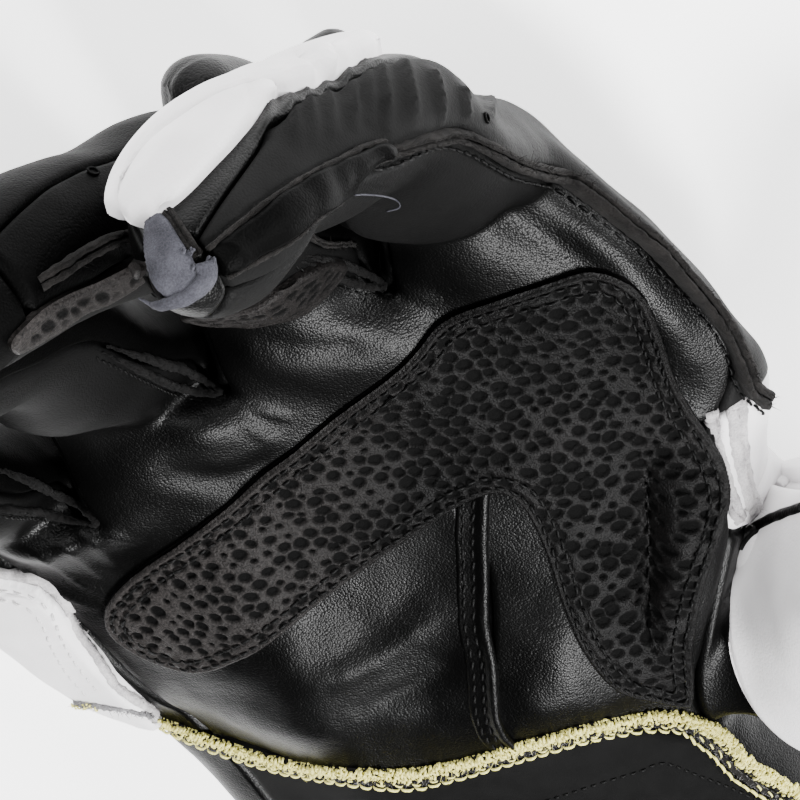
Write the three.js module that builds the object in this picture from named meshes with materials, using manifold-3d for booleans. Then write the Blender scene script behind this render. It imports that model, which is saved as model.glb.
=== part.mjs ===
// A right-hand leather motorcycle glove, lying on its back with the palm up and the fingers
// half closed. Millimetres, +Z out of the palm, +Y towards the fingertips, +X towards the thumb.
// The glove's form is one smooth closed surface, worked out from the stations below. Each piece
// of leather is a wall cut from that surface, and each pad, patch and welt is laid on top of it.
import * as THREE from 'three';
import { mergeVertices } from 'three/addons/utils/BufferGeometryUtils.js';
import Module from 'manifold-3d';

const wasm = await Module();
wasm.setup();

// Driving dimensions

const LEATHER = 1.6;          // thickness of every sewn leather wall
const SEAM_GAP = 0.4;         // space left between two walls that meet at a seam
const LIFT = 0.3;             // space left under a piece laid on top of another
const FLAT = 0.08;            // unevenness that a face may be smoothed over by
const REST = -30;             // height of the surface that the back of the glove lies on
const PATCH = 1.3;            // thickness of the grip patches
const PAD = 3.2;              // thickness of the white finger and side guards
const WELT_LIFT = 0.5;        // space left under a raised seam
const WELT_HIGH = 3.0;        // height of a raised seam
const WELT_WIDE = 2.2;        // thickness of a raised seam

const COLUMNS = 8;            // steps across the palm, two to a finger
const SIDE_R = COLUMNS + 1;   // place of the thumb-side point in a ring
const RING = 2 * COLUMNS + 4; // points in a ring round the palm

// Stations round the hand, from the open cuff to the crotches of the fingers. The y and z columns
// are at five places across the palm, from the little-finger edge to the thumb edge. Then come the
// edges, how far each side stands out past them, how far the back's thumb edge lies inside, the
// heights of the sides, and the back.
const PALM_COLUMNS = ['y0', 'y1', 'y2', 'y3', 'y4', 'z0', 'z1', 'z2', 'z3', 'z4',
  'xU', 'xR', 'outU', 'outR', 'inR', 'sideU', 'sideR', 'back'];
const PALM = [
  [-158, -158, -158, -158, -158, 6, 18, 20, 17, 6, -46, 38, 9, 9, 0, -5, -5, -28],
  [-128, -128, -128, -129, -132, 0, 9, 10, 9, 3, -42, 32, 8, 8, 0, -9, -9, -31],
  [-98, -97, -98, -100, -110, -5, 3, 4, 4, 0, -42, 27, 8, 8, 0, -13, -13, -31.5],
  [-66, -72, -77, -74, -86, -9, 1, 3, 6, 1, -47, 24, 9, 8, 0, -17, -14, -31.5],
  [-56, -60, -63, -64, -72, -8, 3, 4, 8, 3, -50, 27, 12, 8, 0, -17, -14, -31.5],
  [-44, -45, -46, -48, -53, -6, 3, 2, 4, 1, -52, 39.5, 14, 7, 0, -17, -13, -31.5],
  [-34, -32, -31, -31, -35, -5, 2, 0, 1, -1, -53, 44, 15, 7.5, 1, -16, -8, -30],
  [-27, -20, -15, -16, -22, -5, 1.5, 0, 0, -1, -54, 50, 15, 0.5, 2.5, -15, -6, -29],
].map((row) => Object.fromEntries(row.map((value, i) => [PALM_COLUMNS[i], value])));
const WRIST_ROW = 3;          // the station where the palm is sewn to the cuff
const THUMB_ROWS = [3, 4, 5]; // the stations that the thumb grows from

// Where the palm splits into fingers: the seam points between them, and the finger middles.
const CROTCH = [
  // x, y, z of the palm side; x, z of the back
  [-57, -20, -6, -57, -24], [-49, -17, 1, -49, -28], [-40, -13, 0, -40, -28],
  [-27, -7, 3, -27, -29], [-13.5, -1.5, 0, -13.5, -28], [-0.5, 1, 3, -0.5, -29],
  [12.5, 3, -1.5, 12.5, -28], [27, 4, 2, 26, -25], [42.5, 2, -2, 40, -16],
];
const CROTCH_SIDES = [[-69, -22, -14], [-40, -11, -14], [-13.5, 1, -14], [12.5, 5, -14], [43, 1, -8]];

// Lengths in millimetres, bends and leans in degrees, half widths and half thicknesses at the
// knuckles and near the tip, and how far the tip shifts to the thumb side. A lean is towards the
// little finger.
const FINGER_COLUMNS = ['name', 'l1', 'l2', 'l3', 'bend1', 'bend2', 'bend3', 'lean1', 'lean2',
  'w1', 'w2', 'w3', 'h1', 'h2', 'h3', 'wEnd', 'hEnd', 'shift'];
const FINGERS = [
  ['little', 34, 21, 23, 38, 62, 80, 6, 8, 10, 9.5, 8.5, 9, 8.5, 8, 6.6, 6.1, 0],
  ['ring', 43, 27, 26, 37, 60, 80, 2, 12, 12, 11, 9.5, 9.5, 9, 8.5, 7.4, 6.5, 0],
  ['middle', 46, 29, 27, 37, 60, 74, -1, 26, 12, 11, 10, 10.5, 9.5, 8.5, 7.8, 6.5, 0],
  ['index', 42, 25, 26, 37, 60, 80, 3, 22, 12, 11, 10, 8.5, 8.5, 9, 5, 5.4, 2],
].map((row) => Object.fromEntries(row.map((value, i) => [FINGER_COLUMNS[i], value])));

// The thumb's stations: middle, half width and half thickness.
const THUMB = [
  [44, -77, -6, 19, 14], [52, -74, 0, 18.5, 15], [60, -68, 7, 18, 15.5],
  [68, -60, 15, 16.5, 14.5], [74, -51, 24, 14.5, 13], [78, -44, 32, 10.5, 9.5],
];
const THUMB_TIP = [80, -40, 38];
const THUMB_UP = [-0.37, 0.7, 0.62];
const BASE_RISE = 1.5; // how far a finger's middle line lies over the middle of its base

// The form

const v3 = (x, y, z) => new THREE.Vector3(x, y, z);
const lerp = THREE.MathUtils.lerp;
const rad = THREE.MathUtils.degToRad;

// A smooth value through the given ones, at t from 0 to 1.
function through(values, t) {
  const curve = new THREE.SplineCurve(values.map((value, i) => new THREE.Vector2(i, value)));
  return curve.getPoint(t).y;
}

// One ring round the palm: palm side, thumb side, back, little-finger side.
function palmRing(row) {
  const ys = [row.y0, row.y1, row.y2, row.y3, row.y4];
  const zs = [row.z0, row.z1, row.z2, row.z3, row.z4];
  const steps = Array.from({ length: COLUMNS + 1 }, (_, j) => j / COLUMNS);
  const x = (t) => lerp(row.xU, row.xR, t);
  const backZ = (t) => lerp(row.back, (t > 0.5 ? row.sideR : row.sideU) - 9, Math.abs(2 * t - 1) ** 4);
  return [
    ...steps.map((t) => v3(x(t), through(ys, t), through(zs, t))),
    v3(row.xR + row.outR, row.y4, row.sideR),
    ...steps.toReversed().map((t) =>
      v3(x(t) - row.inR * Math.max(2 * t - 1, 0) ** 2, through([row.y0, row.y2, row.y4], t), backZ(t))),
    v3(row.xU - row.outU, row.y0, row.sideU),
  ];
}

// Eight points round a finger: palm side, then thumb side, back and little-finger side.
const SECTION = [
  [-0.85, 0.55], [0, 1], [0.85, 0.55], [1, -0.05], [0.7, -0.68], [0, -0.95], [-0.7, -0.68], [-1, -0.05],
];
const BASE_CORNER = 0.97; // share of the half width that the corners reach where fingers lie side by side
function section(centre, across, up, w, h, corner = SECTION[2][0]) {
  const wide = (a) => (Math.abs(a) === SECTION[2][0] ? Math.sign(a) * corner : a);
  return SECTION.map(([a, b]) => centre.clone()
    .addScaledVector(across, wide(a) * w).addScaledVector(up, b * h));
}

// The rings and the tip point of a finger that starts at base.
function fingerRings(f, base) {
  const heading = (bend, lean) => {
    const ahead = v3(0, Math.cos(rad(bend)), Math.sin(rad(bend)));
    const [c, s] = [Math.cos(rad(lean)), Math.sin(rad(lean))];
    const along = ahead.clone().multiplyScalar(c).addScaledVector(v3(1, 0, 0), -s);
    const across = v3(1, 0, 0).multiplyScalar(c).addScaledVector(ahead, s);
    return { along, across, up: across.clone().cross(along) };
  };
  const one = heading(f.bend1, f.lean1);
  const two = heading(f.bend2, f.lean2);
  const three = heading(f.bend3, f.lean2);
  const between = (a, b) => heading((a + b) / 2, (f.lean1 + f.lean2) / 2);
  const knuckle = base.clone().addScaledVector(one.along, f.l1);
  const joint = knuckle.clone().addScaledVector(two.along, f.l2);
  const at = (from, way, s, w, h, corner) =>
    section(from.clone().addScaledVector(way.along, s), way.across, way.up, w, h, corner);
  const start = heading(f.bend1 * 0.5, f.lean1);
  const aside = (from, s) => from.clone().addScaledVector(three.across, s);
  return {
    rings: [
      at(base, start, f.l1 * 0.28, f.w1, f.h1 + 2, BASE_CORNER),
      at(base, one, f.l1 * 0.66, f.w1 - 0.3, f.h1 + 0.5, 0.92),
      at(knuckle, between(f.bend1, f.bend2), 0, f.w1 - 0.5, f.h1),
      at(knuckle, two, f.l2 * 0.5, f.w2 + 0.3, f.h2),
      at(joint, between(f.bend2, f.bend3), 0, f.w2, f.h2),
      at(joint, three, f.l3 * 0.45, f.w3 + 0.4, f.h3),
      at(aside(joint, f.shift * 0.9), three, f.l3 * 0.81, f.wEnd, f.hEnd),
    ],
    tip: aside(joint, f.shift).addScaledVector(three.along, f.l3 - f.shift * 0.4),
  };
}

function thumbRings() {
  const up = v3(...THUMB_UP);
  const centres = THUMB.map(([x, y, z]) => v3(x, y, z));
  const ends = [...centres, v3(...THUMB_TIP)];
  const rings = THUMB.map(([, , , w, h], i) => {
    const along = ends[i + 1].clone().sub(ends[Math.max(i - 1, 0)]).normalize();
    const across = along.clone().cross(up).normalize();
    return section(centres[i], across, across.clone().cross(along), w, h);
  });
  return { rings, tip: v3(...THUMB_TIP) };
}

// The coarse cage: points, and quads that each carry the name of the region they belong to.
function buildCage() {
  const points = [];
  const quads = [];
  const add = (p) => points.push(p) - 1;
  const rings = PALM.map((row) => palmRing(row).map(add));
  const front = CROTCH.map(([x, y, z]) => add(v3(x, y, z)));
  const back = CROTCH.map(([, y, , x, z]) => add(v3(x, y - 2, z)));
  const sides = CROTCH_SIDES.map(([x, y, z]) => add(v3(x, y, z)));
  rings.push([...front, sides.at(-1), ...back.toReversed(), sides[0]]);

  const palmSide = (k) => {
    if (k < COLUMNS) return 'front';
    if (k <= SIDE_R) return 'radial';
    return k < RING - 2 ? 'back' : 'ulnar';
  };
  for (let r = 0; r + 1 < rings.length; r++) {
    const onThumb = r >= THUMB_ROWS[0] && r < THUMB_ROWS[2];
    for (let k = 0; k < RING; k++) {
      if (onThumb && palmSide(k) === 'radial') continue;
      const n = (k + 1) % RING;
      quads.push({ q: [rings[r][k], rings[r][n], rings[r + 1][n], rings[r + 1][k]], chart: 'hand',
        uv: [[k, r], [k + 1, r], [k + 1, r + 1], [k, r + 1]], side: palmSide(k), row: r, column: k });
    }
  }

  const fingerSide = ['front', 'front', 'radial', 'radial', 'back', 'back', 'ulnar', 'ulnar'];
  const grow = (limb, base, { rings: outer, tip }) => {
    let last = base;
    outer.forEach((ring, row) => {
      const next = ring.map(add);
      for (let k = 0; k < 8; k++) {
        const n = (k + 1) % 8;
        quads.push({ q: [last[k], last[n], next[n], next[k]], chart: limb,
          uv: [[k, row], [k + 1, row], [k + 1, row + 1], [k, row + 1]], side: fingerSide[k], row, column: k });
      }
      last = next;
    });
    const end = add(tip);
    for (let k = 1; k < 8; k += 2) {
      quads.push({ q: [last[k - 1], last[k], last[(k + 1) % 8], end], chart: limb, uv: null,
        side: 'tip', row: outer.length, column: k });
    }
  };
  FINGERS.forEach((f, i) => {
    const a = 2 * i;
    const base = [front[a], front[a + 1], front[a + 2], sides[i + 1],
      back[a + 2], back[a + 1], back[a], sides[i]];
    const centre = base.reduce((sum, p) => sum.addScaledVector(points[p], 1 / 8), v3(0, 0, BASE_RISE));
    grow(f.name, base, fingerRings(f, centre));
  });
  const [near, mid, far] = THUMB_ROWS;
  grow('thumb', [rings[far][COLUMNS], rings[mid][COLUMNS], rings[near][COLUMNS], rings[near][SIDE_R],
    rings[near][SIDE_R + 1], rings[mid][SIDE_R + 1], rings[far][SIDE_R + 1], rings[far][SIDE_R]], thumbRings());
  return compact(points, quads);
}

// Drops the points that no quad uses.
function compact(points, quads) {
  const used = new Map();
  const kept = [];
  for (const face of quads) {
    face.q = face.q.map((p) => {
      if (!used.has(p)) used.set(p, kept.push(points[p]) - 1);
      return used.get(p);
    });
  }
  return { points: kept, quads };
}

// Which quads and edges meet at each point.
function neighbours({ points, quads }) {
  const around = points.map(() => ({ edges: new Map(), corners: [] }));
  for (const { q } of quads) {
    q.forEach((p, i) => {
      const after = q[(i + 1) % 4];
      const before = q[(i + 3) % 4];
      around[p].corners.push(q[(i + 2) % 4]);
      for (const e of [after, before]) around[p].edges.set(e, (around[p].edges.get(e) ?? 0) + 1);
    });
  }
  return around;
}

// Where each point of a cage ends up on the smooth Catmull-Clark surface.
function limitPoints(cage) {
  return neighbours(cage).map(({ edges, corners }, p) => {
    const border = [...edges].filter(([, uses]) => uses === 1).map(([e]) => e);
    const point = cage.points[p].clone();
    if (border.length === 2) {
      return point.multiplyScalar(4).add(cage.points[border[0]]).add(cage.points[border[1]]).divideScalar(6);
    }
    const n = edges.size;
    point.multiplyScalar(n * n);
    for (const e of edges.keys()) point.addScaledVector(cage.points[e], 4);
    for (const c of corners) point.add(cage.points[c]);
    return point.divideScalar(n * (n + 5));
  });
}

// Moves a cage's points until its smooth surface passes through the places they were given.
function fitCage(cage, rounds = 12) {
  const wanted = cage.points.map((p) => p.clone());
  for (let i = 0; i < rounds; i++) {
    limitPoints(cage).forEach((p, k) => cage.points[k].add(wanted[k].clone().sub(p).multiplyScalar(0.9)));
  }
  return cage;
}

// One step of Catmull-Clark subdivision. Each quad's four children keep its region.
function subdivide(cage) {
  const points = [];
  const middle = cage.quads.map(({ q }) => {
    const sum = v3(0, 0, 0);
    q.forEach((p) => sum.addScaledVector(cage.points[p], 0.25));
    return points.push(sum) - 1;
  });
  const edgeFaces = new Map();
  const key = (a, b) => (a < b ? `${a},${b}` : `${b},${a}`);
  cage.quads.forEach(({ q }, f) => q.forEach((p, i) => {
    const k = key(p, q[(i + 1) % 4]);
    edgeFaces.set(k, [...(edgeFaces.get(k) ?? []), f]);
  }));
  const edgePoint = new Map();
  for (const [k, faces] of edgeFaces) {
    const [a, b] = k.split(',').map(Number);
    const mid = cage.points[a].clone().add(cage.points[b]).multiplyScalar(0.5);
    if (faces.length === 2) {
      const inner = points[middle[faces[0]]].clone().add(points[middle[faces[1]]]).multiplyScalar(0.5);
      mid.add(inner).multiplyScalar(0.5);
    }
    edgePoint.set(k, points.push(mid) - 1);
  }
  const around = neighbours(cage);
  const facesAt = cage.points.map(() => []);
  cage.quads.forEach(({ q }, f) => q.forEach((p) => facesAt[p].push(f)));
  const moved = cage.points.map((point, p) => {
    const border = [...around[p].edges].filter(([, uses]) => uses === 1).map(([e]) => e);
    const next = point.clone();
    if (border.length === 2) {
      next.multiplyScalar(6).add(cage.points[border[0]]).add(cage.points[border[1]]).divideScalar(8);
    } else {
      const n = around[p].edges.size;
      next.multiplyScalar(n - 2);
      for (const e of around[p].edges.keys()) next.addScaledVector(cage.points[e], 1 / n);
      for (const f of facesAt[p]) next.addScaledVector(points[middle[f]], 1 / n);
      next.divideScalar(n);
    }
    return points.push(next) - 1;
  });
  const quads = [];
  cage.quads.forEach((face, f) => face.q.forEach((p, i) => {
    const after = edgePoint.get(key(p, face.q[(i + 1) % 4]));
    const before = edgePoint.get(key(p, face.q[(i + 3) % 4]));
    const mean = (...corners) => [0, 1].map(
      (c) => corners.reduce((sum, k) => sum + face.uv[k % 4][c], 0) / corners.length);
    const uv = face.uv && [mean(i), mean(i, i + 1), mean(0, 1, 2, 3), mean(i, i + 3)];
    quads.push({ ...face, q: [moved[p], after, middle[f], before], uv });
  }));
  return { points, quads };
}

// The smooth form, its normals, and a chart of each limb: place round it, place along it.
const fine = subdivide(fitCage(buildCage()));
const form = { points: limitPoints(fine), quads: fine.quads };
for (const p of form.points) p.z = Math.max(p.z, REST); // flattened where it lies
form.normals = form.points.map(() => v3(0, 0, 0));
for (const { q } of form.quads) {
  const [a, b, c, d] = q.map((p) => form.points[p]);
  const normal = c.clone().sub(a).cross(d.clone().sub(b));
  q.forEach((p) => form.normals[p].add(normal));
}
form.normals.forEach((n) => n.normalize());

const STEP = 2; // points of the fine form to one of the coarse
const charts = {};
for (const { q, uv, chart } of form.quads) {
  charts[chart] ??= new Map();
  if (uv) q.forEach((p, i) => charts[chart].set(`${uv[i][0] * STEP},${uv[i][1] * STEP}`, p));
}

// The point and normal of a limb at a place round it and a place along it.
function onForm(chart, around, along) {
  const count = (chart === 'hand' ? RING : 8) * STEP;
  const u = around * STEP;
  const v = along * STEP;
  const cubic = (t) => [
    -0.5 * t + t * t - 0.5 * t ** 3, 1 - 2.5 * t * t + 1.5 * t ** 3,
    0.5 * t + 2 * t * t - 1.5 * t ** 3, -0.5 * t * t + 0.5 * t ** 3,
  ];
  const point = v3(0, 0, 0);
  const normal = v3(0, 0, 0);
  const find = (i, j) => charts[chart].get(`${((i % count) + count) % count},${j}`)
    ?? charts[chart].get(`${((i % count) + count) % count || count},${j}`);
  const rows = cubic(v - Math.floor(v));
  const columns = cubic(u - Math.floor(u));
  rows.forEach((wr, r) => columns.forEach((wc, c) => {
    const i = Math.floor(u) + c - 1;
    const j = Math.floor(v) + r - 1;
    let p = find(i, j);
    if (p === undefined) {
      const near = find(i, j + (r < 1.5 ? 1 : -1)) ?? find(Math.floor(u) + (c > 1 ? 1 : 0), Math.floor(v));
      const far = find(i, j + (r < 1.5 ? 2 : -2)) ?? near;
      point.addScaledVector(form.points[near].clone().multiplyScalar(2).sub(form.points[far]), wr * wc);
      normal.addScaledVector(form.normals[near], wr * wc);
      return;
    }
    point.addScaledVector(form.points[p], wr * wc);
    normal.addScaledVector(form.normals[p], wr * wc);
  }));
  return { point, normal: normal.normalize() };
}

// Pieces

const group = new THREE.Group();
group.name = 'motorcycle_glove';

const SKINS = {
  black_leather: { color: 0x1c1c1e, roughness: 0.5 },
  black_suede: { color: 0x151516, roughness: 0.95 },
  grip_leather: { color: 0x242424, roughness: 0.6 },
  white_leather: { color: 0xe8e6e4, roughness: 0.55 },
  grey_suede: { color: 0x8c8c90, roughness: 0.9 },
  yellow_thread: { color: 0xc9cc86, roughness: 0.8 },
};
const materials = Object.fromEntries(Object.entries(SKINS).map(([name, look]) => {
  const material = new THREE.MeshStandardMaterial({ ...look, metalness: 0 });
  material.name = name;
  return [name, material];
}));

function solidOf({ positions, indices }) {
  return new wasm.Manifold(new wasm.Mesh({
    numProp: 3, vertProperties: new Float32Array(positions), triVerts: new Uint32Array(indices),
  }));
}

// Adds a solid to the glove as a named piece. Of a solid in several bodies, the largest is kept.
function addPiece(name, skin, solid) {
  const body = solid.decompose().reduce((best, next) => (next.volume() > best.volume() ? next : best));
  const cut = body.simplify(FLAT).getMesh();
  let geometry = new THREE.BufferGeometry();
  geometry.setAttribute('position', new THREE.Float32BufferAttribute([...cut.vertProperties], 3));
  geometry.setIndex([...cut.triVerts]);
  geometry = mergeVertices(geometry, 1e-4);
  geometry.computeVertexNormals();
  const mesh = new THREE.Mesh(geometry, materials[skin]);
  mesh.name = name;
  group.add(mesh);
}

// A wall of leather over some quads of the form: from one height over its surface to another,
// with its edges drawn in to leave a seam's space.
function wall(quads, inner, outer, gap = SEAM_GAP / 2) {
  const border = new Map();
  const seen = new Set(quads.flatMap(({ q }) => q.map((p, i) => `${p},${q[(i + 1) % 4]}`)));
  for (const { q } of quads) {
    q.forEach((a, i) => {
      const b = q[(i + 1) % 4];
      if (seen.has(`${b},${a}`)) return;
      const inward = form.normals[a].clone().add(form.normals[b])
        .cross(form.points[b].clone().sub(form.points[a])).normalize();
      for (const p of [a, b]) border.set(p, [...(border.get(p) ?? []), inward]);
    });
  }
  const index = new Map();
  const positions = [];
  const place = (p, height) => {
    const point = form.points[p].clone();
    const ways = border.get(p);
    if (ways) {
      const sum = ways.reduce((total, way) => total.add(way), v3(0, 0, 0));
      const share = Math.max(sum.lengthSq() / ways.length, 0.6);
      point.addScaledVector(sum, (height < 0 ? 3 : 1) * gap / share);
    }
    return point.addScaledVector(form.normals[p], height);
  };
  const vertex = (p, height) => {
    const key = `${p},${height}`;
    if (!index.has(key)) {
      index.set(key, positions.length / 3);
      positions.push(...place(p, height).toArray());
    }
    return index.get(key);
  };
  const indices = [];
  const quad = (a, b, c, d) => indices.push(a, b, c, a, c, d);
  for (const { q } of quads) {
    quad(...q.map((p) => vertex(p, outer)));
    quad(...q.toReversed().map((p) => vertex(p, inner)));
    q.forEach((a, i) => {
      const b = q[(i + 1) % 4];
      if (!seen.has(`${b},${a}`)) quad(vertex(b, outer), vertex(a, outer), vertex(a, inner), vertex(b, inner));
    });
  }
  return { positions, indices };
}

// The room that the sewn bag takes up, with the space kept under raised pieces.
const bag = solidOf(wall(form.quads, -2 * LEATHER, LIFT, 0));
const walls = [];
function addRaised(name, skin, solid) {
  addPiece(name, skin, walls.reduce((rest, wall) => rest.subtract(wall), solid.subtract(bag)));
}
const ROOT = -1; // depth at which a raised piece starts, before the bag is cut from it

// Which piece of leather each part of the form belongs to.
const LAP_COLUMN = 5;      // where the little-finger half of the palm laps over the thumb half
const THENAR_TOP = 6;      // station under the grip patch where the thumb half ends
const TIP_ROW = 6;         // station where the fingertip caps start
const CAP_ROW = { index: 7, thumb: 4 };
const sideName = {
  cuff: { front: 'cuff_front', radial: 'cuff_thumb_side', back: 'cuff_back', ulnar: 'cuff_little_side' },
};
function pieceOf({ chart, side, row, column }) {
  if (chart === 'hand') {
    if (row < WRIST_ROW) return sideName.cuff[side];
    if (side === 'front') return column >= LAP_COLUMN && row < THENAR_TOP ? 'thenar_panel' : 'palm_panel';
    if (side === 'back') return 'back_panel';
    if (side === 'ulnar') return 'little_side_panel';
    if (row === THUMB_ROWS[2]) return 'thumb_web_panel';
    return row > THUMB_ROWS[2] ? 'index_side_panel' : 'thumb_outer_panel';
  }
  if (side === 'tip' || row >= (CAP_ROW[chart] ?? TIP_ROW)) return `${chart}_tip_cap`;
  if (chart === 'thumb') {
    if (side === 'ulnar') return 'thumb_inner_panel';
    return side === 'front' ? 'thumb_front_panel' : 'thumb_outer_panel';
  }
  if (side === 'front') return 'palm_panel';
  if (side === 'back') return `${chart}_back_panel`;
  const names = FINGERS.map((f) => f.name);
  const i = names.indexOf(chart) + (side === 'radial' ? 1 : 0);
  if (i === 0) return 'little_side_panel';
  if (i === names.length) return 'index_side_panel';
  return `fourchette_${names[i]}_${names[i - 1]}`;
}

const WALL_SKINS = {
  thumb_web_panel: 'white_leather', thumb_inner_panel: 'white_leather',
  index_tip_cap: 'grey_suede', cuff_front: 'black_suede',
};
const panels = Map.groupBy(form.quads, pieceOf);
const wallOf = (name) => solidOf(wall(panels.get(name), -LEATHER, 0));
const roomOf = (name) => solidOf(wall(panels.get(name), -LEATHER - SEAM_GAP / 2, SEAM_GAP / 2, -SEAM_GAP / 2));
// A wall that is cut back where it folds onto another.
const TUCKED = { thumb_outer_panel: 'cuff_thumb_side' };
for (const name of panels.keys()) {
  const solid = name in TUCKED ? wallOf(name).subtract(roomOf(TUCKED[name])) : wallOf(name);
  walls.push(solid);
  addPiece(name, WALL_SKINS[name] ?? 'black_leather', solid);
}

// Pads. Each row: place along the limb, and the two places round it that the pad reaches to.
const ACROSS = 4; // steps across a pad
function addPad(name, skin, chart, rows, { thick = PAD, beside = null } = {}) {
  const layer = (height, edge) => rows.map(([along, from, to]) => {
    const line = [];
    for (let j = 0; j <= ACROSS; j++) {
      const { point, normal } = onForm(chart, lerp(from, to, j / ACROSS), along);
      line.push(point.addScaledVector(normal, j % ACROSS === 0 ? edge : height));
    }
    return line;
  });
  const top = layer(LIFT + thick, LIFT + thick * 0.55);
  const bottom = layer(ROOT, ROOT);
  for (const end of [0, rows.length - 1]) top[end].forEach((p, j) => p.lerp(bottom[end][j], 0.35));
  const solid = slab(top, bottom);
  addRaised(name, skin, beside ? solid.subtract(beside) : solid);
}

// A closed slab between two grids of points.
function slab(top, bottom) {
  const positions = [...top, ...bottom].flat().flatMap((p) => p.toArray());
  const wide = top[0].length;
  const rows = top.length;
  const at = (r, j, low) => (low ? rows * wide : 0) + r * wide + j;
  const indices = [];
  const quad = (a, b, c, d) => indices.push(a, b, c, a, c, d);
  for (let r = 0; r + 1 < rows; r++) {
    for (let j = 0; j + 1 < wide; j++) {
      quad(at(r, j), at(r, j + 1), at(r + 1, j + 1), at(r + 1, j));
      quad(at(r, j, 1), at(r + 1, j, 1), at(r + 1, j + 1, 1), at(r, j + 1, 1));
    }
    quad(at(r, 0, 1), at(r, 0), at(r + 1, 0), at(r + 1, 0, 1));
    quad(at(r, wide - 1), at(r, wide - 1, 1), at(r + 1, wide - 1, 1), at(r + 1, wide - 1));
  }
  for (let j = 0; j + 1 < wide; j++) {
    quad(at(0, j, 1), at(0, j + 1, 1), at(0, j + 1), at(0, j));
    quad(at(rows - 1, j), at(rows - 1, j + 1), at(rows - 1, j + 1, 1), at(rows - 1, j, 1));
  }
  return solidOf({ positions, indices });
}

// Raised seams. A path is a list of places on the form, joined by steps.
function pathOn(stops, steps = 4) {
  const path = [];
  stops.forEach(([chart, around, along], i) => {
    const next = stops[i + 1];
    if (!next || next[0] !== chart) {
      path.push(onForm(chart, around, along));
      return;
    }
    for (let k = 0; k < steps; k++) {
      path.push(onForm(chart, lerp(around, next[1], k / steps), lerp(along, next[2], k / steps)));
    }
  });
  return path;
}

// The cross-section of a raised seam: across and up, as shares of its thickness and height.
const WELT_SECTION = [[-0.5, 0], [-0.5, 0.7], [-0.25, 1], [0.25, 1], [0.5, 0.7], [0.5, 0]];
const BAND_SECTION = [[-0.5, 0], [-0.35, 1], [0.35, 1], [0.5, 0]];
function addWelt(name, skin, path, { wide = WELT_WIDE, high = WELT_HIGH, closed = false, cut = false } = {}) {
  const foot = cut ? ROOT : WELT_LIFT;
  const profile = closed ? BAND_SECTION : WELT_SECTION;
  const count = path.length;
  const rings = path.map(({ point, normal }, i) => {
    const after = path[closed ? (i + 1) % count : Math.min(i + 1, count - 1)].point;
    const before = path[closed ? (i + count - 1) % count : Math.max(i - 1, 0)].point;
    const across = after.clone().sub(before).cross(normal).normalize();
    return profile.map(([a, h]) => point.clone()
      .addScaledVector(across, a * wide).addScaledVector(normal, h === 0 ? foot : LIFT + h * high));
  });
  const n = profile.length;
  const positions = rings.flat().flatMap((p) => p.toArray());
  const indices = [];
  for (let i = 0; i + (closed ? 0 : 1) < count; i++) {
    const j = (i + 1) % count;
    for (let k = 0; k < n; k++) {
      const m = (k + 1) % n;
      indices.push(i * n + k, i * n + m, j * n + m, i * n + k, j * n + m, j * n + k);
    }
  }
  if (!closed) {
    for (let k = 1; k + 1 < n; k++) {
      indices.push(0, k + 1, k);
      indices.push((count - 1) * n, (count - 1) * n + k, (count - 1) * n + k + 1);
    }
  }
  const step = (ring, i) => wasm.Manifold.hull([...rings[i], ...ring].map((p) => p.toArray()));
  if (cut) addRaised(name, skin, wasm.Manifold.union(rings.slice(1).map(step)));
  else addPiece(name, skin, solidOf({ positions, indices }));
}

// The grip patch on the palm: its outline as seen from straight above.
const PATCH_OUTLINE = [
  // x, y, from the little-finger end along the upper edge to the thumb and back below
  [-47, -32], [-41.4, -27.3], [-26.3, -20.4], [-8, -13.6], [9.5, -7], [17, -3.6], [25.7, -2.4],
  [33.8, -2.8], [39.5, -4.6], [42.3, -9], [42.3, -17], [41, -28], [42, -40], [40.5, -46.5],
  [35.5, -53], [31, -59.5], [27.5, -66], [25.3, -73], [22.8, -78], [18.6, -73.5], [15, -67.7],
  [13.8, -59.7], [14, -51.5], [15.2, -42], [14.8, -34], [10.3, -31.8], [-3, -35], [-20.6, -40], [-37, -45], [-43.5, -43], [-47.5, -37.5],
];
function patch(outline, quads, thick) {
  const shell = solidOf(wall(quads, ROOT, LIFT + thick, 0));
  const curve = new THREE.CatmullRomCurve3(outline.map(([x, y]) => v3(x, y, 0)), true);
  const polygon = curve.getPoints(outline.length * 2).slice(0, -1).map((p) => [p.x, p.y]).toReversed();
  return shell.intersect(wasm.Manifold.extrude([polygon], 80).translate([0, 0, -40]));
}
const palmFront = form.quads.filter(
  ({ chart, side, row }) => chart === 'hand' && side === 'front' && row >= WRIST_ROW);
const patchRoom = patch(PATCH_OUTLINE, palmFront, PATCH + LIFT);
addRaised('palm_grip_patch', 'grip_leather', patch(PATCH_OUTLINE, palmFront, PATCH));

addPad('little_side_guard', 'white_leather', 'hand', [
  [3.1, 18.9, 19.8], [4, 18.4, 19.9], [5, 18.2, 19.95], [6, 18.2, 19.95], [7, 18.2, 19.95], [7.8, 18.4, 19.9],
]);
addPad('index_knuckle_guard', 'white_leather', 'index', [
  [3.1, 4.3, 4.75], [3.35, 4.25, 5.3], [3.6, 4.3, 5.9], [4.2, 4.25, 6.2], [4.7, 4.3, 6.3], [5.3, 5.05, 6.3],
  [5.8, 5.45, 6.3], [6.3, 5.65, 6.25],
]);
addPad('index_tip_guard', 'white_leather', 'index', [
  [4.9, 4.25, 4.45], [5.3, 4.25, 4.85], [5.8, 4.3, 5.25], [6.3, 4.45, 5.45], [6.7, 4.8, 5.5],
], { thick: PAD * 0.7 });
addPad('index_knuckle_pad', 'black_leather', 'index', [
  [2.75, 5.1, 6.3], [2.95, 5.05, 6.5], [3.15, 5.1, 6.4],
], { thick: PAD * 1.2 });
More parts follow.
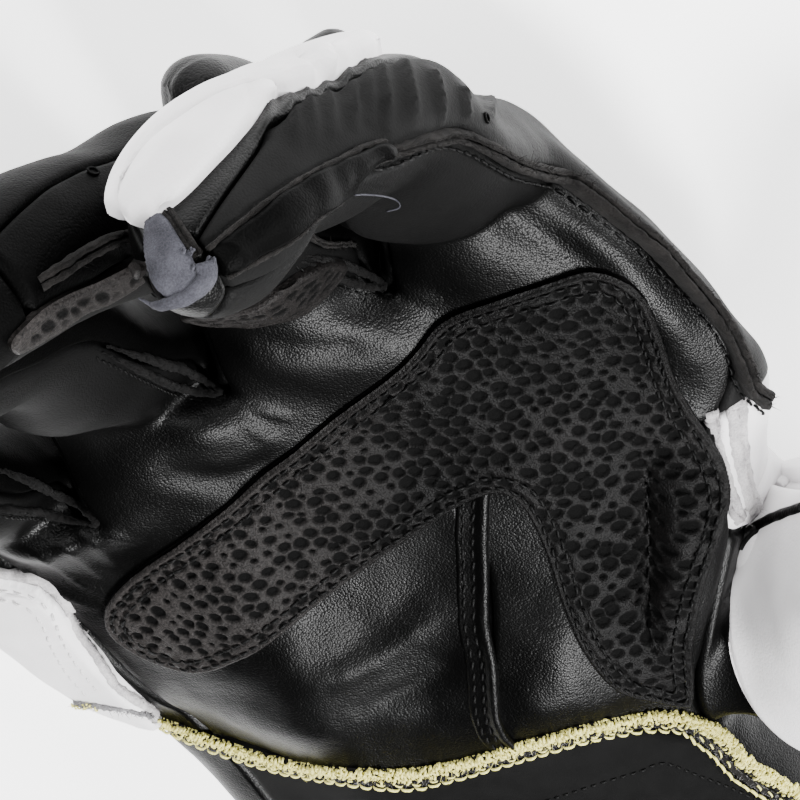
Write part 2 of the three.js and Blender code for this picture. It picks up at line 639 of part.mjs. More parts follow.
addPad('middle_knuckle_guard', 'black_leather', 'middle', [
  [2.35, 3.9, 4.7], [2.6, 3.7, 4.9], [3.1, 3.7, 4.9], [3.35, 3.9, 4.7],
], { thick: PAD * 1.9 });
addPad('thumb_guard_lower', 'white_leather', 'thumb', [
  [0.2, 0.15, 0.45], [0.55, 0.15, 0.9], [0.8, 0.12, 1.7], [1.1, 0.1, 2.3], [2, 0.08, 2.4],
  [3, 0.1, 2.3], [3.8, 0.3, 2],
], { beside: patchRoom });
addPad('thumb_guard_upper', 'white_leather', 'thumb', [
  [0.5, 6.2, 7.75], [1, 6.1, 7.8], [2, 6.1, 7.8], [3, 6.2, 7.75], [3.7, 6.4, 7.6],
], { thick: PAD * 0.6 });
addPad('middle_grip_patch', 'grip_leather', 'middle', [
  [0.9, 0.5, 1.5], [1.2, 0.25, 1.75], [1.7, 0.2, 1.8], [2.2, 0.4, 1.6],
], { thick: PATCH });

addWelt('index_seam_welt', 'black_suede', pathOn([
  ['hand', 8.5, 6], ['hand', 8.15, 6.6], ['hand', 8, 7.1], ['hand', 8, 7.7], ['index', 2, 0.2], ['index', 2, 1],
  ['index', 2, 2], ['index', 2, 3], ['index', 2.3, 4], ['index', 2.4, 4.7], ['index', 2.5, 5.4],
  ['index', 2.85, 6],
], 3));
addWelt('middle_seam_welt', 'black_suede', pathOn([
  ['middle', 2, 1.05], ['middle', 2, 2], ['middle', 2, 3], ['middle', 2, 4], ['middle', 2, 5], ['middle', 2, 5.8],
], 3), { high: WELT_HIGH * 0.6 });
for (const [low, high, reach] of [['little', 'ring', 2.1], ['ring', 'middle', 2.3], ['middle', 'index', 0.8]]) {
  addWelt(`crotch_welt_${high}_${low}`, 'black_suede', pathOn([
    [low, 2.05, reach], [low, 2.05, reach / 2], [low, 2.05, 0.2], [high, 0, 0.02],
  ], 3), { high: WELT_HIGH * 0.4, wide: WELT_WIDE * 0.8, cut: true });
}
addWelt('palm_lap_edge', 'black_leather', pathOn([
  ['hand', 5.05, 3.15], ['hand', 4.98, 4.25], ['hand', 4.87, 4.8], ['hand', 5, 5.3], ['hand', 5.15, 5.55],
]), { high: 1.2, wide: 3 });
addWelt('wrist_overlock_edge', 'yellow_thread', pathOn(
  Array.from({ length: COLUMNS + 2 }, (_, k) => ['hand', k - 1, WRIST_ROW]), 2), { high: 1.5, wide: 2 });
addWelt('cuff_binding', 'black_suede', pathOn(
  Array.from({ length: RING + 1 }, (_, k) => ['hand', k, 0]), 2).slice(0, -1),
{ high: 1.5, wide: 6, closed: true });

// The glove stands on its back, centred over the origin.
const box = new THREE.Box3().setFromObject(group);
const toOrigin = new THREE.Vector3(-(box.min.x + box.max.x) / 2, -(box.min.y + box.max.y) / 2, -box.min.z);
for (const mesh of group.children) mesh.geometry.translate(...toOrigin.toArray());

export default group;
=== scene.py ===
# A right-hand leather motorcycle glove on its back, palm up, on a pale floor.
# The glove's form is the smooth surface of the CAD model, worked out again here from the same
# stations in millimetres. Folds are pushed into it, it is cut into sewn pieces of leather with
# rolled edges, and the grip patch, pads, welts, stitches and fuzz are laid on it.
import math
import random

import bpy
import numpy as np
from mathutils import Matrix, Vector, bvhtree, geometry, kdtree, noise


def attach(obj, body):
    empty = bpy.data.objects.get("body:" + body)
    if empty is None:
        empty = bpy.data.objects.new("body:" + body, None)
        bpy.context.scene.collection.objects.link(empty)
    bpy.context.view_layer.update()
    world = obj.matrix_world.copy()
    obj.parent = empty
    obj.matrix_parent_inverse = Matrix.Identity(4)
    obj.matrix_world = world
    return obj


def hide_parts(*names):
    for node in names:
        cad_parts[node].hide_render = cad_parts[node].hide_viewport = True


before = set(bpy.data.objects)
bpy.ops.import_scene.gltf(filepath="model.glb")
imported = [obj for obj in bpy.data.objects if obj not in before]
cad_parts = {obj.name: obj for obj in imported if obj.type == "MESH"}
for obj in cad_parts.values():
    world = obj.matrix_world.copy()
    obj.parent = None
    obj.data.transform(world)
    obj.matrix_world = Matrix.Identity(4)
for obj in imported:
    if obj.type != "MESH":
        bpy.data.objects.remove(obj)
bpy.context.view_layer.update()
MM = 0.001
SHIFT = np.array([-7.1491, 49.6457, 30.0341])  # from the hand's own millimetres to the row frame's
SCENE = bpy.context.scene


def to_row(points):
    """Points in the hand's millimetres, as metres in the row frame."""
    return (np.asarray(points, float) + SHIFT) * MM


def linear(code):
    """A hex colour as the linear RGBA that nodes and lights take."""
    parts = [int(code[i : i + 2], 16) / 255 for i in (0, 2, 4)]
    return tuple(c / 12.92 if c <= 0.04045 else ((c + 0.055) / 1.055) ** 2.4 for c in parts) + (1.0,)


def vec(*values):
    return np.array(values, float)


def unit(vectors):
    return vectors / np.maximum(np.linalg.norm(vectors, axis=-1, keepdims=True), 1e-9)


# Camera

EYE = vec(95.1, 204.9, 305.7)      # place of the camera, in the hand's millimetres
AIM = vec(3.4, -21.5, -11.7)       # point in the middle of the picture
SKY = vec(0.327, 0.6914, -0.6443)  # rough up direction of the picture
PICTURE = 800                      # width and height of the picture in pixels
FOCAL = 2913.0                     # focal length in pixels
SENSOR = 36                        # width of the camera's sensor in millimetres

ahead = unit(AIM - EYE)
right = unit(np.cross(ahead, SKY))
above = np.cross(right, ahead)
camera_data = bpy.data.cameras.new("camera")
camera_data.sensor_fit = "HORIZONTAL"
camera_data.sensor_width = SENSOR
camera_data.lens = FOCAL / PICTURE * SENSOR
camera_data.clip_start = 0.01
camera = bpy.data.objects.new("camera", camera_data)
SCENE.collection.objects.link(camera)
turn = Matrix([[right[i], above[i], -ahead[i]] for i in range(3)]).to_4x4()
camera.matrix_world = Matrix.Translation(Vector(to_row(EYE))) @ turn
SCENE.camera = camera

# The hand's stations, in millimetres, as in the CAD model

COLUMNS = 8                  # faces of the cage across the palm
SIDE_R = COLUMNS + 1
RING = 2 * COLUMNS + 4       # faces of the cage round the hand
WRIST_ROW = 3                # the ring where the cuff ends
THUMB_ROWS = (3, 4, 5)       # the rings between which the thumb grows
REST = -30.0                 # height of the surface that the glove lies on
LEATHER = 1.6
LIFT = 0.3                   # space under what is laid on the leather
PATCH = 1.3

PALM_COLUMNS = "y0 y1 y2 y3 y4 z0 z1 z2 z3 z4 xU xR outU outR inR sideU sideR back".split()
PALM = [dict(zip(PALM_COLUMNS, row)) for row in [
    (-158, -158, -158, -158, -158, 6, 18, 20, 17, 6, -46, 38, 9, 9, 0, -5, -5, -28),
    (-128, -128, -128, -129, -132, 0, 9, 10, 9, 3, -42, 32, 8, 8, 0, -9, -9, -31),
    (-98, -97, -98, -100, -110, -5, 3, 4, 4, 0, -42, 27, 8, 8, 0, -13, -13, -31.5),
    (-66, -72, -77, -74, -86, -9, 1, 3, 6, 1, -47, 24, 9, 8, 0, -17, -14, -31.5),
    (-56, -60, -63, -64, -72, -8, 3, 4, 8, 3, -50, 27, 12, 8, 0, -17, -14, -31.5),
    (-44, -45, -46, -48, -53, -6, 3, 2, 4, 1, -52, 39.5, 14, 7, 0, -17, -13, -31.5),
    (-34, -32, -31, -31, -35, -5, 2, 0, 1, -1, -53, 44, 15, 7.5, 1, -16, -8, -30),
    (-27, -20, -15, -16, -22, -5, 1.5, 0, 0, -1, -54, 50, 15, 0.5, 2.5, -15, -6, -29),
]]
CROTCH = [  # x, y, z of the palm side; x, z of the back
    (-57, -20, -6, -57, -24), (-49, -17, 1, -49, -28), (-40, -13, 0, -40, -28),
    (-27, -7, 3, -27, -29), (-13.5, -1.5, 0, -13.5, -28), (-0.5, 1, 3, -0.5, -29),
    (12.5, 3, -1.5, 12.5, -28), (27, 4, 2, 26, -25), (42.5, 2, -2, 40, -16),
]
CROTCH_SIDES = [(-69, -22, -14), (-40, -11, -14), (-13.5, 1, -14), (12.5, 5, -14), (43, 1, -8)]
FINGER_COLUMNS = "name l1 l2 l3 bend1 bend2 bend3 lean1 lean2 w1 w2 w3 h1 h2 h3 wEnd hEnd shift".split()
FINGERS = [dict(zip(FINGER_COLUMNS, row)) for row in [
    ("little", 34, 21, 23, 38, 62, 80, 6, 8, 10, 9.5, 8.5, 9, 8.5, 8, 6.6, 6.1, 0),
    ("ring", 43, 27, 26, 37, 60, 80, 2, 12, 12, 11, 9.5, 9.5, 9, 8.5, 7.4, 6.5, 0),
    ("middle", 46, 29, 27, 37, 60, 74, -1, 26, 12, 11, 10, 10.5, 9.5, 8.5, 7.8, 6.5, 0),
    ("index", 42, 25, 26, 37, 60, 80, 3, 22, 12, 11, 10, 8.5, 8.5, 9, 5, 5.4, 2),
]]
NAMES = [f["name"] for f in FINGERS]
THUMB = [  # x, y, z of the middle, half width, half thickness
    (44, -77, -6, 19, 14), (52, -74, 0, 18.5, 15), (60, -68, 7, 18, 15.5),
    (68, -60, 15, 16.5, 14.5), (74, -51, 24, 14.5, 13), (78, -44, 32, 10.5, 9.5),
]
THUMB_TIP = (80, -40, 38)
THUMB_UP = (-0.37, 0.7, 0.62)
BASE_RISE = 1.5
SECTION = [(-0.85, 0.55), (0, 1), (0.85, 0.55), (1, -0.05), (0.7, -0.68), (0, -0.95), (-0.7, -0.68), (-1, -0.05)]
BASE_CORNER = 0.97
FINGER_SIDE = ["front", "front", "radial", "radial", "back", "back", "ulnar", "ulnar"]


def cubic(a, b, c, d, w):
    """A smooth value between b and c, at w from 0 to 1."""
    u, v = (c - a) / 2, (d - b) / 2
    return (2 * b - 2 * c + u + v) * w**3 + (-3 * b + 3 * c - 2 * u - v) * w**2 + u * w + b


def through(values, t):
    """A smooth value through the given ones, at t from 0 to 1."""
    last = len(values) - 1
    i = min(int(last * t), last)
    return cubic(*(values[min(max(k, 0), last)] for k in (i - 1, i, i + 1, i + 2)), last * t - i)


def palm_ring(row):
    """One ring round the palm: palm side, thumb side, back, little-finger side."""
    ys = [row[f"y{i}"] for i in range(5)]
    zs = [row[f"z{i}"] for i in range(5)]
    steps = [j / COLUMNS for j in range(COLUMNS + 1)]
    x = lambda t: row["xU"] + (row["xR"] - row["xU"]) * t
    side = lambda t: (row["sideR"] if t > 0.5 else row["sideU"]) - 9
    back = lambda t: row["back"] + (side(t) - row["back"]) * abs(2 * t - 1) ** 4
    return (
        [vec(x(t), through(ys, t), through(zs, t)) for t in steps]
        + [vec(row["xR"] + row["outR"], row["y4"], row["sideR"])]
        + [vec(x(t) - row["inR"] * max(2 * t - 1, 0) ** 2, through([row["y0"], row["y2"], row["y4"]], t), back(t))
           for t in reversed(steps)]
        + [vec(row["xU"] - row["outU"], row["y0"], row["sideU"])]
    )


def section(centre, across, up, w, h, corner=SECTION[2][0]):
    """Eight points round a finger: palm side, thumb side, back, little-finger side."""
    wide = lambda a: math.copysign(corner, a) if abs(a) == SECTION[2][0] else a
    return [centre + across * wide(a) * w + up * b * h for a, b in SECTION]


def heading(bend, lean):
    """Directions along, across and up out of a finger bone that bends and leans by so many degrees."""
    way = vec(0, math.cos(math.radians(bend)), math.sin(math.radians(bend)))
    c, s = math.cos(math.radians(lean)), math.sin(math.radians(lean))
    along, across = way * c - vec(s, 0, 0), vec(c, 0, 0) + way * s
    return along, across, np.cross(across, along)


def finger_rings(f, base):
    """The rings of a finger's cage from its base on, and its tip."""
    lean, bends = (f["lean1"] + f["lean2"]) / 2, [f["bend1"], f["bend2"], f["bend3"]]
    one, two, three = (heading(b, l) for b, l in zip(bends, (f["lean1"], f["lean2"], f["lean2"])))
    knuckle = base + one[0] * f["l1"]
    joint = knuckle + two[0] * f["l2"]
    at = lambda origin, way, s, w, h, *corner: section(origin + way[0] * s, way[1], way[2], w, h, *corner)
    return [
        at(base, heading(f["bend1"] * 0.5, f["lean1"]), f["l1"] * 0.28, f["w1"], f["h1"] + 2, BASE_CORNER),
        at(base, one, f["l1"] * 0.66, f["w1"] - 0.3, f["h1"] + 0.5, 0.92),
        at(knuckle, heading((bends[0] + bends[1]) / 2, lean), 0, f["w1"] - 0.5, f["h1"]),
        at(knuckle, two, f["l2"] * 0.5, f["w2"] + 0.3, f["h2"]),
        at(joint, heading((bends[1] + bends[2]) / 2, lean), 0, f["w2"], f["h2"]),
        at(joint, three, f["l3"] * 0.45, f["w3"] + 0.4, f["h3"]),
        at(joint + three[1] * f["shift"] * 0.9, three, f["l3"] * 0.81, f["wEnd"], f["hEnd"]),
    ], joint + three[0] * (f["l3"] - f["shift"] * 0.4) + three[1] * f["shift"]


def thumb_rings():
    centres = [vec(*row[:3]) for row in THUMB]
    ends = centres + [vec(*THUMB_TIP)]
    rings = []
    for i, (_, _, _, w, h) in enumerate(THUMB):
        along = unit(ends[i + 1] - ends[max(i - 1, 0)])
        across = unit(np.cross(along, vec(*THUMB_UP)))
        rings.append(section(centres[i], across, np.cross(across, along), w, h))
    return rings, vec(*THUMB_TIP)


def palm_side(k):
    return "front" if k < COLUMNS else "radial" if k <= SIDE_R else "back" if k < RING - 2 else "ulnar"


def build_cage():
    """The coarse cage: points, and faces that each carry the region they belong to."""
    points, faces = [], []

    def add(p):
        points.append(np.array(p, float))
        return len(points) - 1

    def face(q, chart, uv, side, row, column):
        faces.append(dict(q=q, chart=chart, uv=uv, side=side, row=row, column=column))

    def grow(limb, last, outer, tip):
        for row, ring in enumerate(outer):
            following = [add(p) for p in ring]
            for k in range(8):
                n = (k + 1) % 8
                face([last[k], last[n], following[n], following[k]], limb, corners(k, row), FINGER_SIDE[k], row, k)
            last = following
        end = add(tip)
        for k in (1, 3, 5, 7):
            face([last[k - 1], last[k], last[(k + 1) % 8], end], limb, None, "tip", len(outer), k)

    corners = lambda k, r: [(k, r), (k + 1, r), (k + 1, r + 1), (k, r + 1)]
    rings = [[add(p) for p in palm_ring(row)] for row in PALM]
    front = [add((x, y, z)) for x, y, z, _, _ in CROTCH]
    back = [add((x, y - 2, z)) for _, y, _, x, z in CROTCH]
    sides = [add(p) for p in CROTCH_SIDES]
    rings.append(front + [sides[-1]] + back[::-1] + [sides[0]])
    for r in range(len(rings) - 1):
        for k in range(RING):
            if THUMB_ROWS[0] <= r < THUMB_ROWS[2] and palm_side(k) == "radial":
                continue
            n = (k + 1) % RING
            quad = [rings[r][k], rings[r][n], rings[r + 1][n], rings[r + 1][k]]
            face(quad, "hand", corners(k, r), palm_side(k), r, k)
    for i, f in enumerate(FINGERS):
        a = 2 * i
        base = [front[a], front[a + 1], front[a + 2], sides[i + 1], back[a + 2], back[a + 1], back[a], sides[i]]
        centre = sum(points[p] for p in base) / 8 + vec(0, 0, BASE_RISE)
        grow(f["name"], base, *finger_rings(f, centre))
    near, mid, far = (rings[r] for r in THUMB_ROWS)
    grow("thumb", [far[8], mid[8], near[8], near[9], near[10], mid[10], far[10], far[9]], *thumb_rings())
    used = sorted({p for f in faces for p in f["q"]})
    place = {p: i for i, p in enumerate(used)}
    for f in faces:
        f["q"] = [place[p] for p in f["q"]]
    return np.array([points[p] for p in used]), faces


def fit_cage(points, faces, rounds=12):
    """Moves a cage's points until its smooth surface passes through the places they were given."""
    edges = [{} for _ in points]
    corners = [[] for _ in points]
    for f in faces:
        q = f["q"]
        for i, p in enumerate(q):
            corners[p].append(q[(i + 2) % 4])
            for e in (q[(i + 1) % 4], q[(i + 3) % 4]):
                edges[p][e] = edges[p].get(e, 0) + 1
    wanted = points.copy()
    for _ in range(rounds):
        limit = np.empty_like(points)
        for p, own in enumerate(points):
            border = [e for e, uses in edges[p].items() if uses == 1]
            if len(border) == 2:
                limit[p] = (own * 4 + points[border[0]] + points[border[1]]) / 6
                continue
            n = len(edges[p])
            total = own * n * n + 4 * sum(points[e] for e in edges[p]) + sum(points[c] for c in corners[p])
            limit[p] = total / (n * (n + 5))
        points = points + (wanted - limit) * 0.9
    return points


# Which piece of leather each part of the form belongs to

LAP_COLUMN, THENAR_TOP, TIP_ROW = 5, 6, 6
CAP_ROW = {"index": 7, "thumb": 4}
CUFF = {"front": "cuff_front", "radial": "cuff_thumb_side", "back": "cuff_back", "ulnar": "cuff_little_side"}


def piece_of(f):
    chart, side, row, column = f["chart"], f["side"], f["row"], f["column"]
    if chart == "hand":
        if row < WRIST_ROW:
            return CUFF[side]
        if side == "front":
            return "thenar_panel" if column >= LAP_COLUMN and row < THENAR_TOP else "palm_panel"
        if side != "radial":
            return {"back": "back_panel", "ulnar": "little_side_panel"}[side]
        if row == THUMB_ROWS[2]:
            return "thumb_web_panel"
        return "index_side_panel" if row > THUMB_ROWS[2] else "thumb_outer_panel"
    if side == "tip" or row >= CAP_ROW.get(chart, TIP_ROW):
        return f"{chart}_tip_cap"
    if chart == "thumb":
        return {"ulnar": "thumb_inner_panel", "front": "thumb_front_panel"}.get(side, "thumb_outer_panel")
    if side in ("front", "back"):
        return {"front": "palm_panel", "back": f"{chart}_back_panel"}[side]
    i = NAMES.index(chart) + (side == "radial")
    if i in (0, len(NAMES)):
        return "index_side_panel" if i else "little_side_panel"
    return f"fourchette_{NAMES[i]}_{NAMES[i - 1]}"


# The smooth form, as arrays: points, normals, quads, and each limb's chart of places on it

FINE = 4          # levels of subdivision of the visible surface
STEP = 2**FINE    # fine steps to one of the cage


def numbers(items, key, width, kind=float):
    """One property of all of a mesh's items, as the rows of an array."""
    data = np.zeros(len(items) * width, kind)
    items.foreach_get(key, data)
    return data.reshape(-1, width)


def smooth(points, faces, level):
    """The cage's smooth surface at one level: points, quads, each quad's cage face and chart places."""
    mesh = bpy.data.meshes.new("cage")
    mesh.from_pydata([tuple(p) for p in points], [], [f["q"] for f in faces])
    layer = mesh.uv_layers.new(name="chart")
    for f, polygon in zip(faces, mesh.polygons):
        polygon.material_index = polygon.index
        for loop, uv in zip(polygon.loop_indices, f["uv"] or [(-9, -9)] * 4):
            layer.data[loop].uv = uv
    cage = bpy.data.objects.new("cage", mesh)
    SCENE.collection.objects.link(cage)
    modifier = cage.modifiers.new("smooth", "SUBSURF")
    modifier.levels = modifier.render_levels = level
    modifier.uv_smooth = "NONE"
    fine = bpy.data.meshes.new_from_object(cage.evaluated_get(bpy.context.evaluated_depsgraph_get()))
    bpy.data.objects.remove(cage)
    return (numbers(fine.vertices, "co", 3), numbers(fine.loops, "vertex_index", 1, int).reshape(-1, 4),
            numbers(fine.polygons, "material_index", 1, int)[:, 0],
            numbers(fine.uv_layers[0].data, "uv", 2).reshape(-1, 4, 2))


def normals_of(points, quads):
    a, b, c, d = (points[quads[:, i]] for i in range(4))
    flat = np.cross(c - a, d - b)
    total = np.zeros_like(points)
    for i in range(4):
        np.add.at(total, quads[:, i], flat)
    return unit(total)


cage_points, cage_faces = build_cage()
P, Q, OWNER, UV = smooth(fit_cage(cage_points, cage_faces), cage_faces, FINE)
P[:, 2] = np.maximum(P[:, 2], REST)
N = normals_of(P, Q)
PIECE = np.array([piece_of(f) for f in cage_faces])[OWNER]
CHART = np.array([f["chart"] for f in cage_faces])[OWNER]

charts = {}
for limb in ["hand", "thumb"] + NAMES:
    mine = (CHART == limb) & (UV[:, 0, 0] > -1)
    places = np.rint(UV[mine] * STEP).astype(int).reshape(-1, 2)
    grid = np.full(places.max(0)[::-1] + 1, -1)
    grid[places[:, 1], places[:, 0]] = Q[mine].reshape(-1)
    charts[limb] = grid


def on_form(chart, around, along):
    """Points and normals of a limb at places round it and places along it."""
    grid = charts[chart]
    rows, columns = grid.shape
    u = np.mod(np.asarray(around, float) * STEP, columns - 1)
    v = np.clip(np.asarray(along, float) * STEP, 0, rows - 1.001)
    i, j = u.astype(int), v.astype(int)
    s, t = (u - i)[..., None], (v - j)[..., None]
    pick = [grid[j, i], grid[j, i + 1], grid[j + 1, i + 1], grid[j + 1, i]]
    share = [(1 - s) * (1 - t), s * (1 - t), s * t, (1 - s) * t]
    return sum(P[k] * w for k, w in zip(pick, share)), unit(sum(N[k] * w for k, w in zip(pick, share)))


def sight(px, py):
    """The direction in which the camera sees a pixel."""
    half = PICTURE / 2
    return unit(ahead * FOCAL + right * (px - half) - above * (py - half))


def tree_of(points, faces):
    return bvhtree.BVHTree.FromPolygons(points.tolist(), np.asarray(faces).tolist())


def seen(tree, px, py):
    """The point and normal of a surface where the camera sees a pixel."""
    point, normal, _, _ = tree.ray_cast(Vector(EYE), Vector(sight(px, py)))
    return (np.array(point), np.array(normal)) if point else (None, None)


def kd_of(points):
    tree = kdtree.KDTree(len(points))
    for i, p in enumerate(points):
        tree.insert(tuple(p) if len(p) == 3 else (*p, 0.0), i)
    tree.balance()
    return tree


def distance_to(tree, points):
    return np.array([tree.find(tuple(p) if len(p) == 3 else (*p, 0.0))[2] for p in points])


# Paths: a path is its points and the form's normals under them


def evenly(points, step):
    """A line of points, which may carry more columns, in even steps."""
    length = np.concatenate([[0], np.cumsum(np.linalg.norm(np.diff(points[:, :3], axis=0), axis=1))])
    at = np.linspace(0, length[-1], max(int(length[-1] / step), 2) + 1)
    return np.stack([np.interp(at, length, column) for column in points.T], 1)


def spline(points, per=6):
    """A smooth line through points of any dimension."""
    points = [np.asarray(p, float) for p in points]
    count = (len(points) - 1) * per
    return np.array([through(points, k / count) for k in range(count + 1)])


def smoothed(values, rounds=6):
    for _ in range(rounds):
        values[1:-1] = (values[:-2] + 2 * values[1:-1] + values[2:]) / 4
    return values


def resample(path, step):
    mixed = evenly(np.concatenate(path, 1), step)
    return mixed[:, :3], unit(mixed[:, 3:])


def path_on(stops, step=0.6, per=12):
    """A path on the form through stops (limb, place round it, place along it)."""
    runs = []
    for limb, *place in stops:
        if not runs or runs[-1][0] != limb:
            runs.append((limb, []))
        runs[-1][1].append(place)
    parts = [on_form(limb, *spline(places, per).T) for limb, places in runs]
    return resample([np.concatenate(part) for part in zip(*parts)], step)


def seen_row(pixels, step=0.6, tree=None):
    """A path on a surface through what the camera sees at some pixels."""
    found = [hit for hit in (seen(tree or FORM, x, y) for x, y in spline(pixels)) if hit[0] is not None]
    return resample((np.array([p for p, _ in found]), smoothed(np.array([n for _, n in found]))), step)


def held_row(pixels, step=0.35):
    """A path before the camera that stays as near as the finger that it begins on."""
    far, rows = None, []
    for x, y in spline(pixels):
        point, normal = seen(FORM, x, y)
        depth = 1e6 if point is None else np.linalg.norm(point - EYE)
        if far is None or depth < far + 1.2:
            far, out = depth, normal
        rows.append((EYE + sight(x, y) * far, out))
    return resample([np.array(part) for part in zip(*rows)], step)


def sideways(path):
    return unit(np.cross(np.gradient(path[0], axis=0), path[1]))


def beside(path, distance, up=0.0):
    return path[0] + sideways(path) * distance + path[1] * up, path[1]


# Folds, pushed into the form before it is cut up

BARE = tree_of(P, Q)
FOLDS = [
    # width and height of the ridge in millimetres, then pixels along it in the picture
    (2.4, -2.2, [(652, 430), (648, 490), (650, 560), (650, 640)]),   # crease across the grip patch
    (2.2, 1.6, [(690, 470), (684, 540), (672, 610), (668, 670)]),
    (1.0, -1.1, [(205, 384), (222, 393), (236, 398)]),               # ends of the slits
    (1.0, -1.0, [(372, 279), (386, 284), (398, 287)]),
    (1.0, -1.0, [(80, 514), (96, 527), (106, 534)]),
    (3.0, 0.9, [(240, 300), (300, 305), (350, 318)]),                # soft folds of the palm
    (2.5, -0.8, [(250, 345), (320, 352), (385, 345)]),
    (3.0, 1.0, [(120, 408), (190, 425), (260, 430)]),
    (2.5, -0.7, [(150, 470), (230, 480), (300, 450)]),
    (3.6, 1.3, [(500, 170), (560, 205), (610, 250), (660, 312), (700, 368), (726, 400)]),
    (2.4, -0.7, [(500, 205), (550, 240), (600, 270), (640, 305)]),
    (2.4, 0.8, [(300, 690), (380, 655), (450, 600)]),
    (2.2, -0.6, [(350, 715), (430, 680), (468, 640)]),
]
GATHERS = [  # on the index finger's side, from the back to the palm
    ((268, 98), (262, 140)), ((283, 76), (297, 150)), ((300, 68), (312, 148)), ((318, 62), (330, 140)),
    ((345, 56), (352, 134)), ((362, 54), (368, 128)), ((377, 52), (386, 134)), ((402, 52), (412, 134)),
    ((430, 56), (442, 130)), ((455, 66), (470, 124)), ((482, 80), (492, 124)),
]
WRINKLES = [  # fine ones that spread from the patch's end and the slits
    ((20, 545), (112, 598)), ((10, 566), (104, 612)), ((40, 530), (118, 585)), ((70, 522), (128, 572)),
    ((232, 400), (300, 420)), ((228, 404), (275, 445)), ((395, 290), (440, 300)), ((100, 532), (150, 545)),
]
WAVES = [(0.3, 12.0, 0.0), (0.07, 4.5, 7.0)]   # height, size and seed of the leather's unevenness
for pairs, wide, high, bow in ((GATHERS, 0.9, 1.0, (3, 0)), (WRINKLES, 0.7, 0.35, (0, 2))):
    for start, end in pairs:
        middle = ((start[0] + end[0]) / 2 + bow[0], (start[1] + end[1]) / 2 + bow[1])
        FOLDS.append((wide, high, [start, middle, end]))

move = np.zeros_like(P)
for wide, high, pixels in FOLDS:
    line = seen_row(pixels, 0.8, BARE)[0]
    tree = kd_of(line)
    near = ((P > line.min(0) - 3 * wide) & (P < line.max(0) + 3 * wide)).all(1)
    for k in np.nonzero(near)[0]:
        _, i, distance = tree.find(P[k])
        if distance < 3 * wide:
            ends = min(i, len(line) - 1 - i) / max(len(line) * 0.25, 1)
            move[k] += N[k] * high * math.exp(-((distance / wide) ** 2)) * min(ends, 1)
for high, size, seed in WAVES:
    shift = Vector((seed, -seed, seed))
    move += N * (high * 2 * np.array([noise.noise(Vector(p) / size + shift) for p in P]))[:, None]
P = P + move
P[:, 2] = np.maximum(P[:, 2], REST)
N = normals_of(P, Q)
FORM = tree_of(P, Q)

# Materials


class Shader:
    """A material in the making. Each step adds a node and gives its output. Sizes and depths are in mm."""

    def __init__(self, name):
        self.material = bpy.data.materials.new(name)
        self.material.use_nodes = True
        self.place = self.node("TexCoord", output="Object")

    def fill(self, node, inputs):
        for key, value in inputs.items() if isinstance(inputs, dict) else enumerate(inputs):
            if isinstance(value, bpy.types.NodeSocket):
                self.material.node_tree.links.new(value, node.inputs[key])
            else:
                node.inputs[key].default_value = value

    def node(self, kind, inputs=(), output=0, **settings):
        made = self.material.node_tree.nodes.new("ShaderNode" + kind)
        for key, value in settings.items():
            setattr(made, key, value)
        self.fill(made, inputs)
        return made.outputs[output]

    def noise(self, size, detail=3.0, rough=0.55, place=None):
        return self.node("TexNoise", {"Vector": place or self.place, "Scale": 1 / (size * MM), "Detail": detail,
                                      "Roughness": rough})

    def cells(self, size):
        return self.node("TexVoronoi", {"Vector": self.place, "Scale": 1 / (size * MM)}, "Distance")

    def value(self, attribute):
        return self.node("Attribute", output="Fac", attribute_name=attribute)

    def span(self, *values):
        return self.node("MapRange", values)

    def math(self, operation, a, b, **settings):
        return self.node("Math", (a, b), operation=operation, **settings)

    def mix(self, share, a, b):
        a, b = (linear(c) if isinstance(c, str) else c for c in (a, b))
        return self.node("Mix", {0: share, 6: a, 7: b}, 2, data_type="RGBA")

    def bump(self, height, deep, strength=1.0, under=None):
        inputs = {"Height": height, "Distance": deep * MM, "Strength": strength}
        return self.node("Bump", {**inputs, "Normal": under} if under else inputs)

    def finish(self, colour, rough, normal, shine, sheen=0.0):
        self.fill(self.material.node_tree.nodes["Principled BSDF"], {
            "Base Color": colour, "Roughness": rough, "Normal": normal, "Specular IOR Level": shine,
            "Sheen Weight": sheen})
        return self.material


def leather(name, dark, light, rough, grain=0.3, deep=0.058, wrinkle=0.07, shine=0.12):
    """Smooth full-grain leather: fine pebbled grain, faint creases, wear where the edges roll."""
    m = Shader(name)
    pebble = m.math("SUBTRACT", 1.0, m.math("POWER", m.cells(grain), 2.0))
    crease = m.noise(2.6, 6.0, 0.62, m.node("Mapping", {"Vector": m.place, "Scale": (1, 1.8, 1.3)}))
    cloud = m.noise(14, 2.0)
    worn = m.math("MULTIPLY", m.span(m.value("edge_mm"), 0.2, 2.2, 1.0, 0.0), m.noise(1.6), use_clamp=True)
    colour = m.mix(m.math("MULTIPLY", worn, 0.5), m.mix(m.span(cloud, 0.35, 0.7), dark, light), light)
    gloss = m.math("SUBTRACT", m.math("ADD", cloud, 0.45), m.math("MULTIPLY", pebble, 0.3))
    gloss = m.math("ADD", m.span(gloss, 0.3, 1.1, rough - 0.07, rough + 0.12),
                   m.span(m.value("from_palm_mm"), 4, 13, 0.0, 0.25))
    return m.finish(colour, gloss, m.bump(pebble, deep, 0.8, m.bump(crease, wrinkle)), shine)


def suede(name, dark, light, nap=0.22, deep=0.10):
    """Suede or a raw leather edge: a short matt nap."""
    m = Shader(name)
    fibre = m.noise(nap, 4.0, 0.7)
    both = m.math("ADD", m.math("MULTIPLY", fibre, 0.6), m.math("MULTIPLY", m.noise(3), 0.5))
    return m.finish(m.mix(m.span(both, 0.4, 0.75), dark, light), 0.93, m.bump(fibre, deep), 0.1, 0.02)


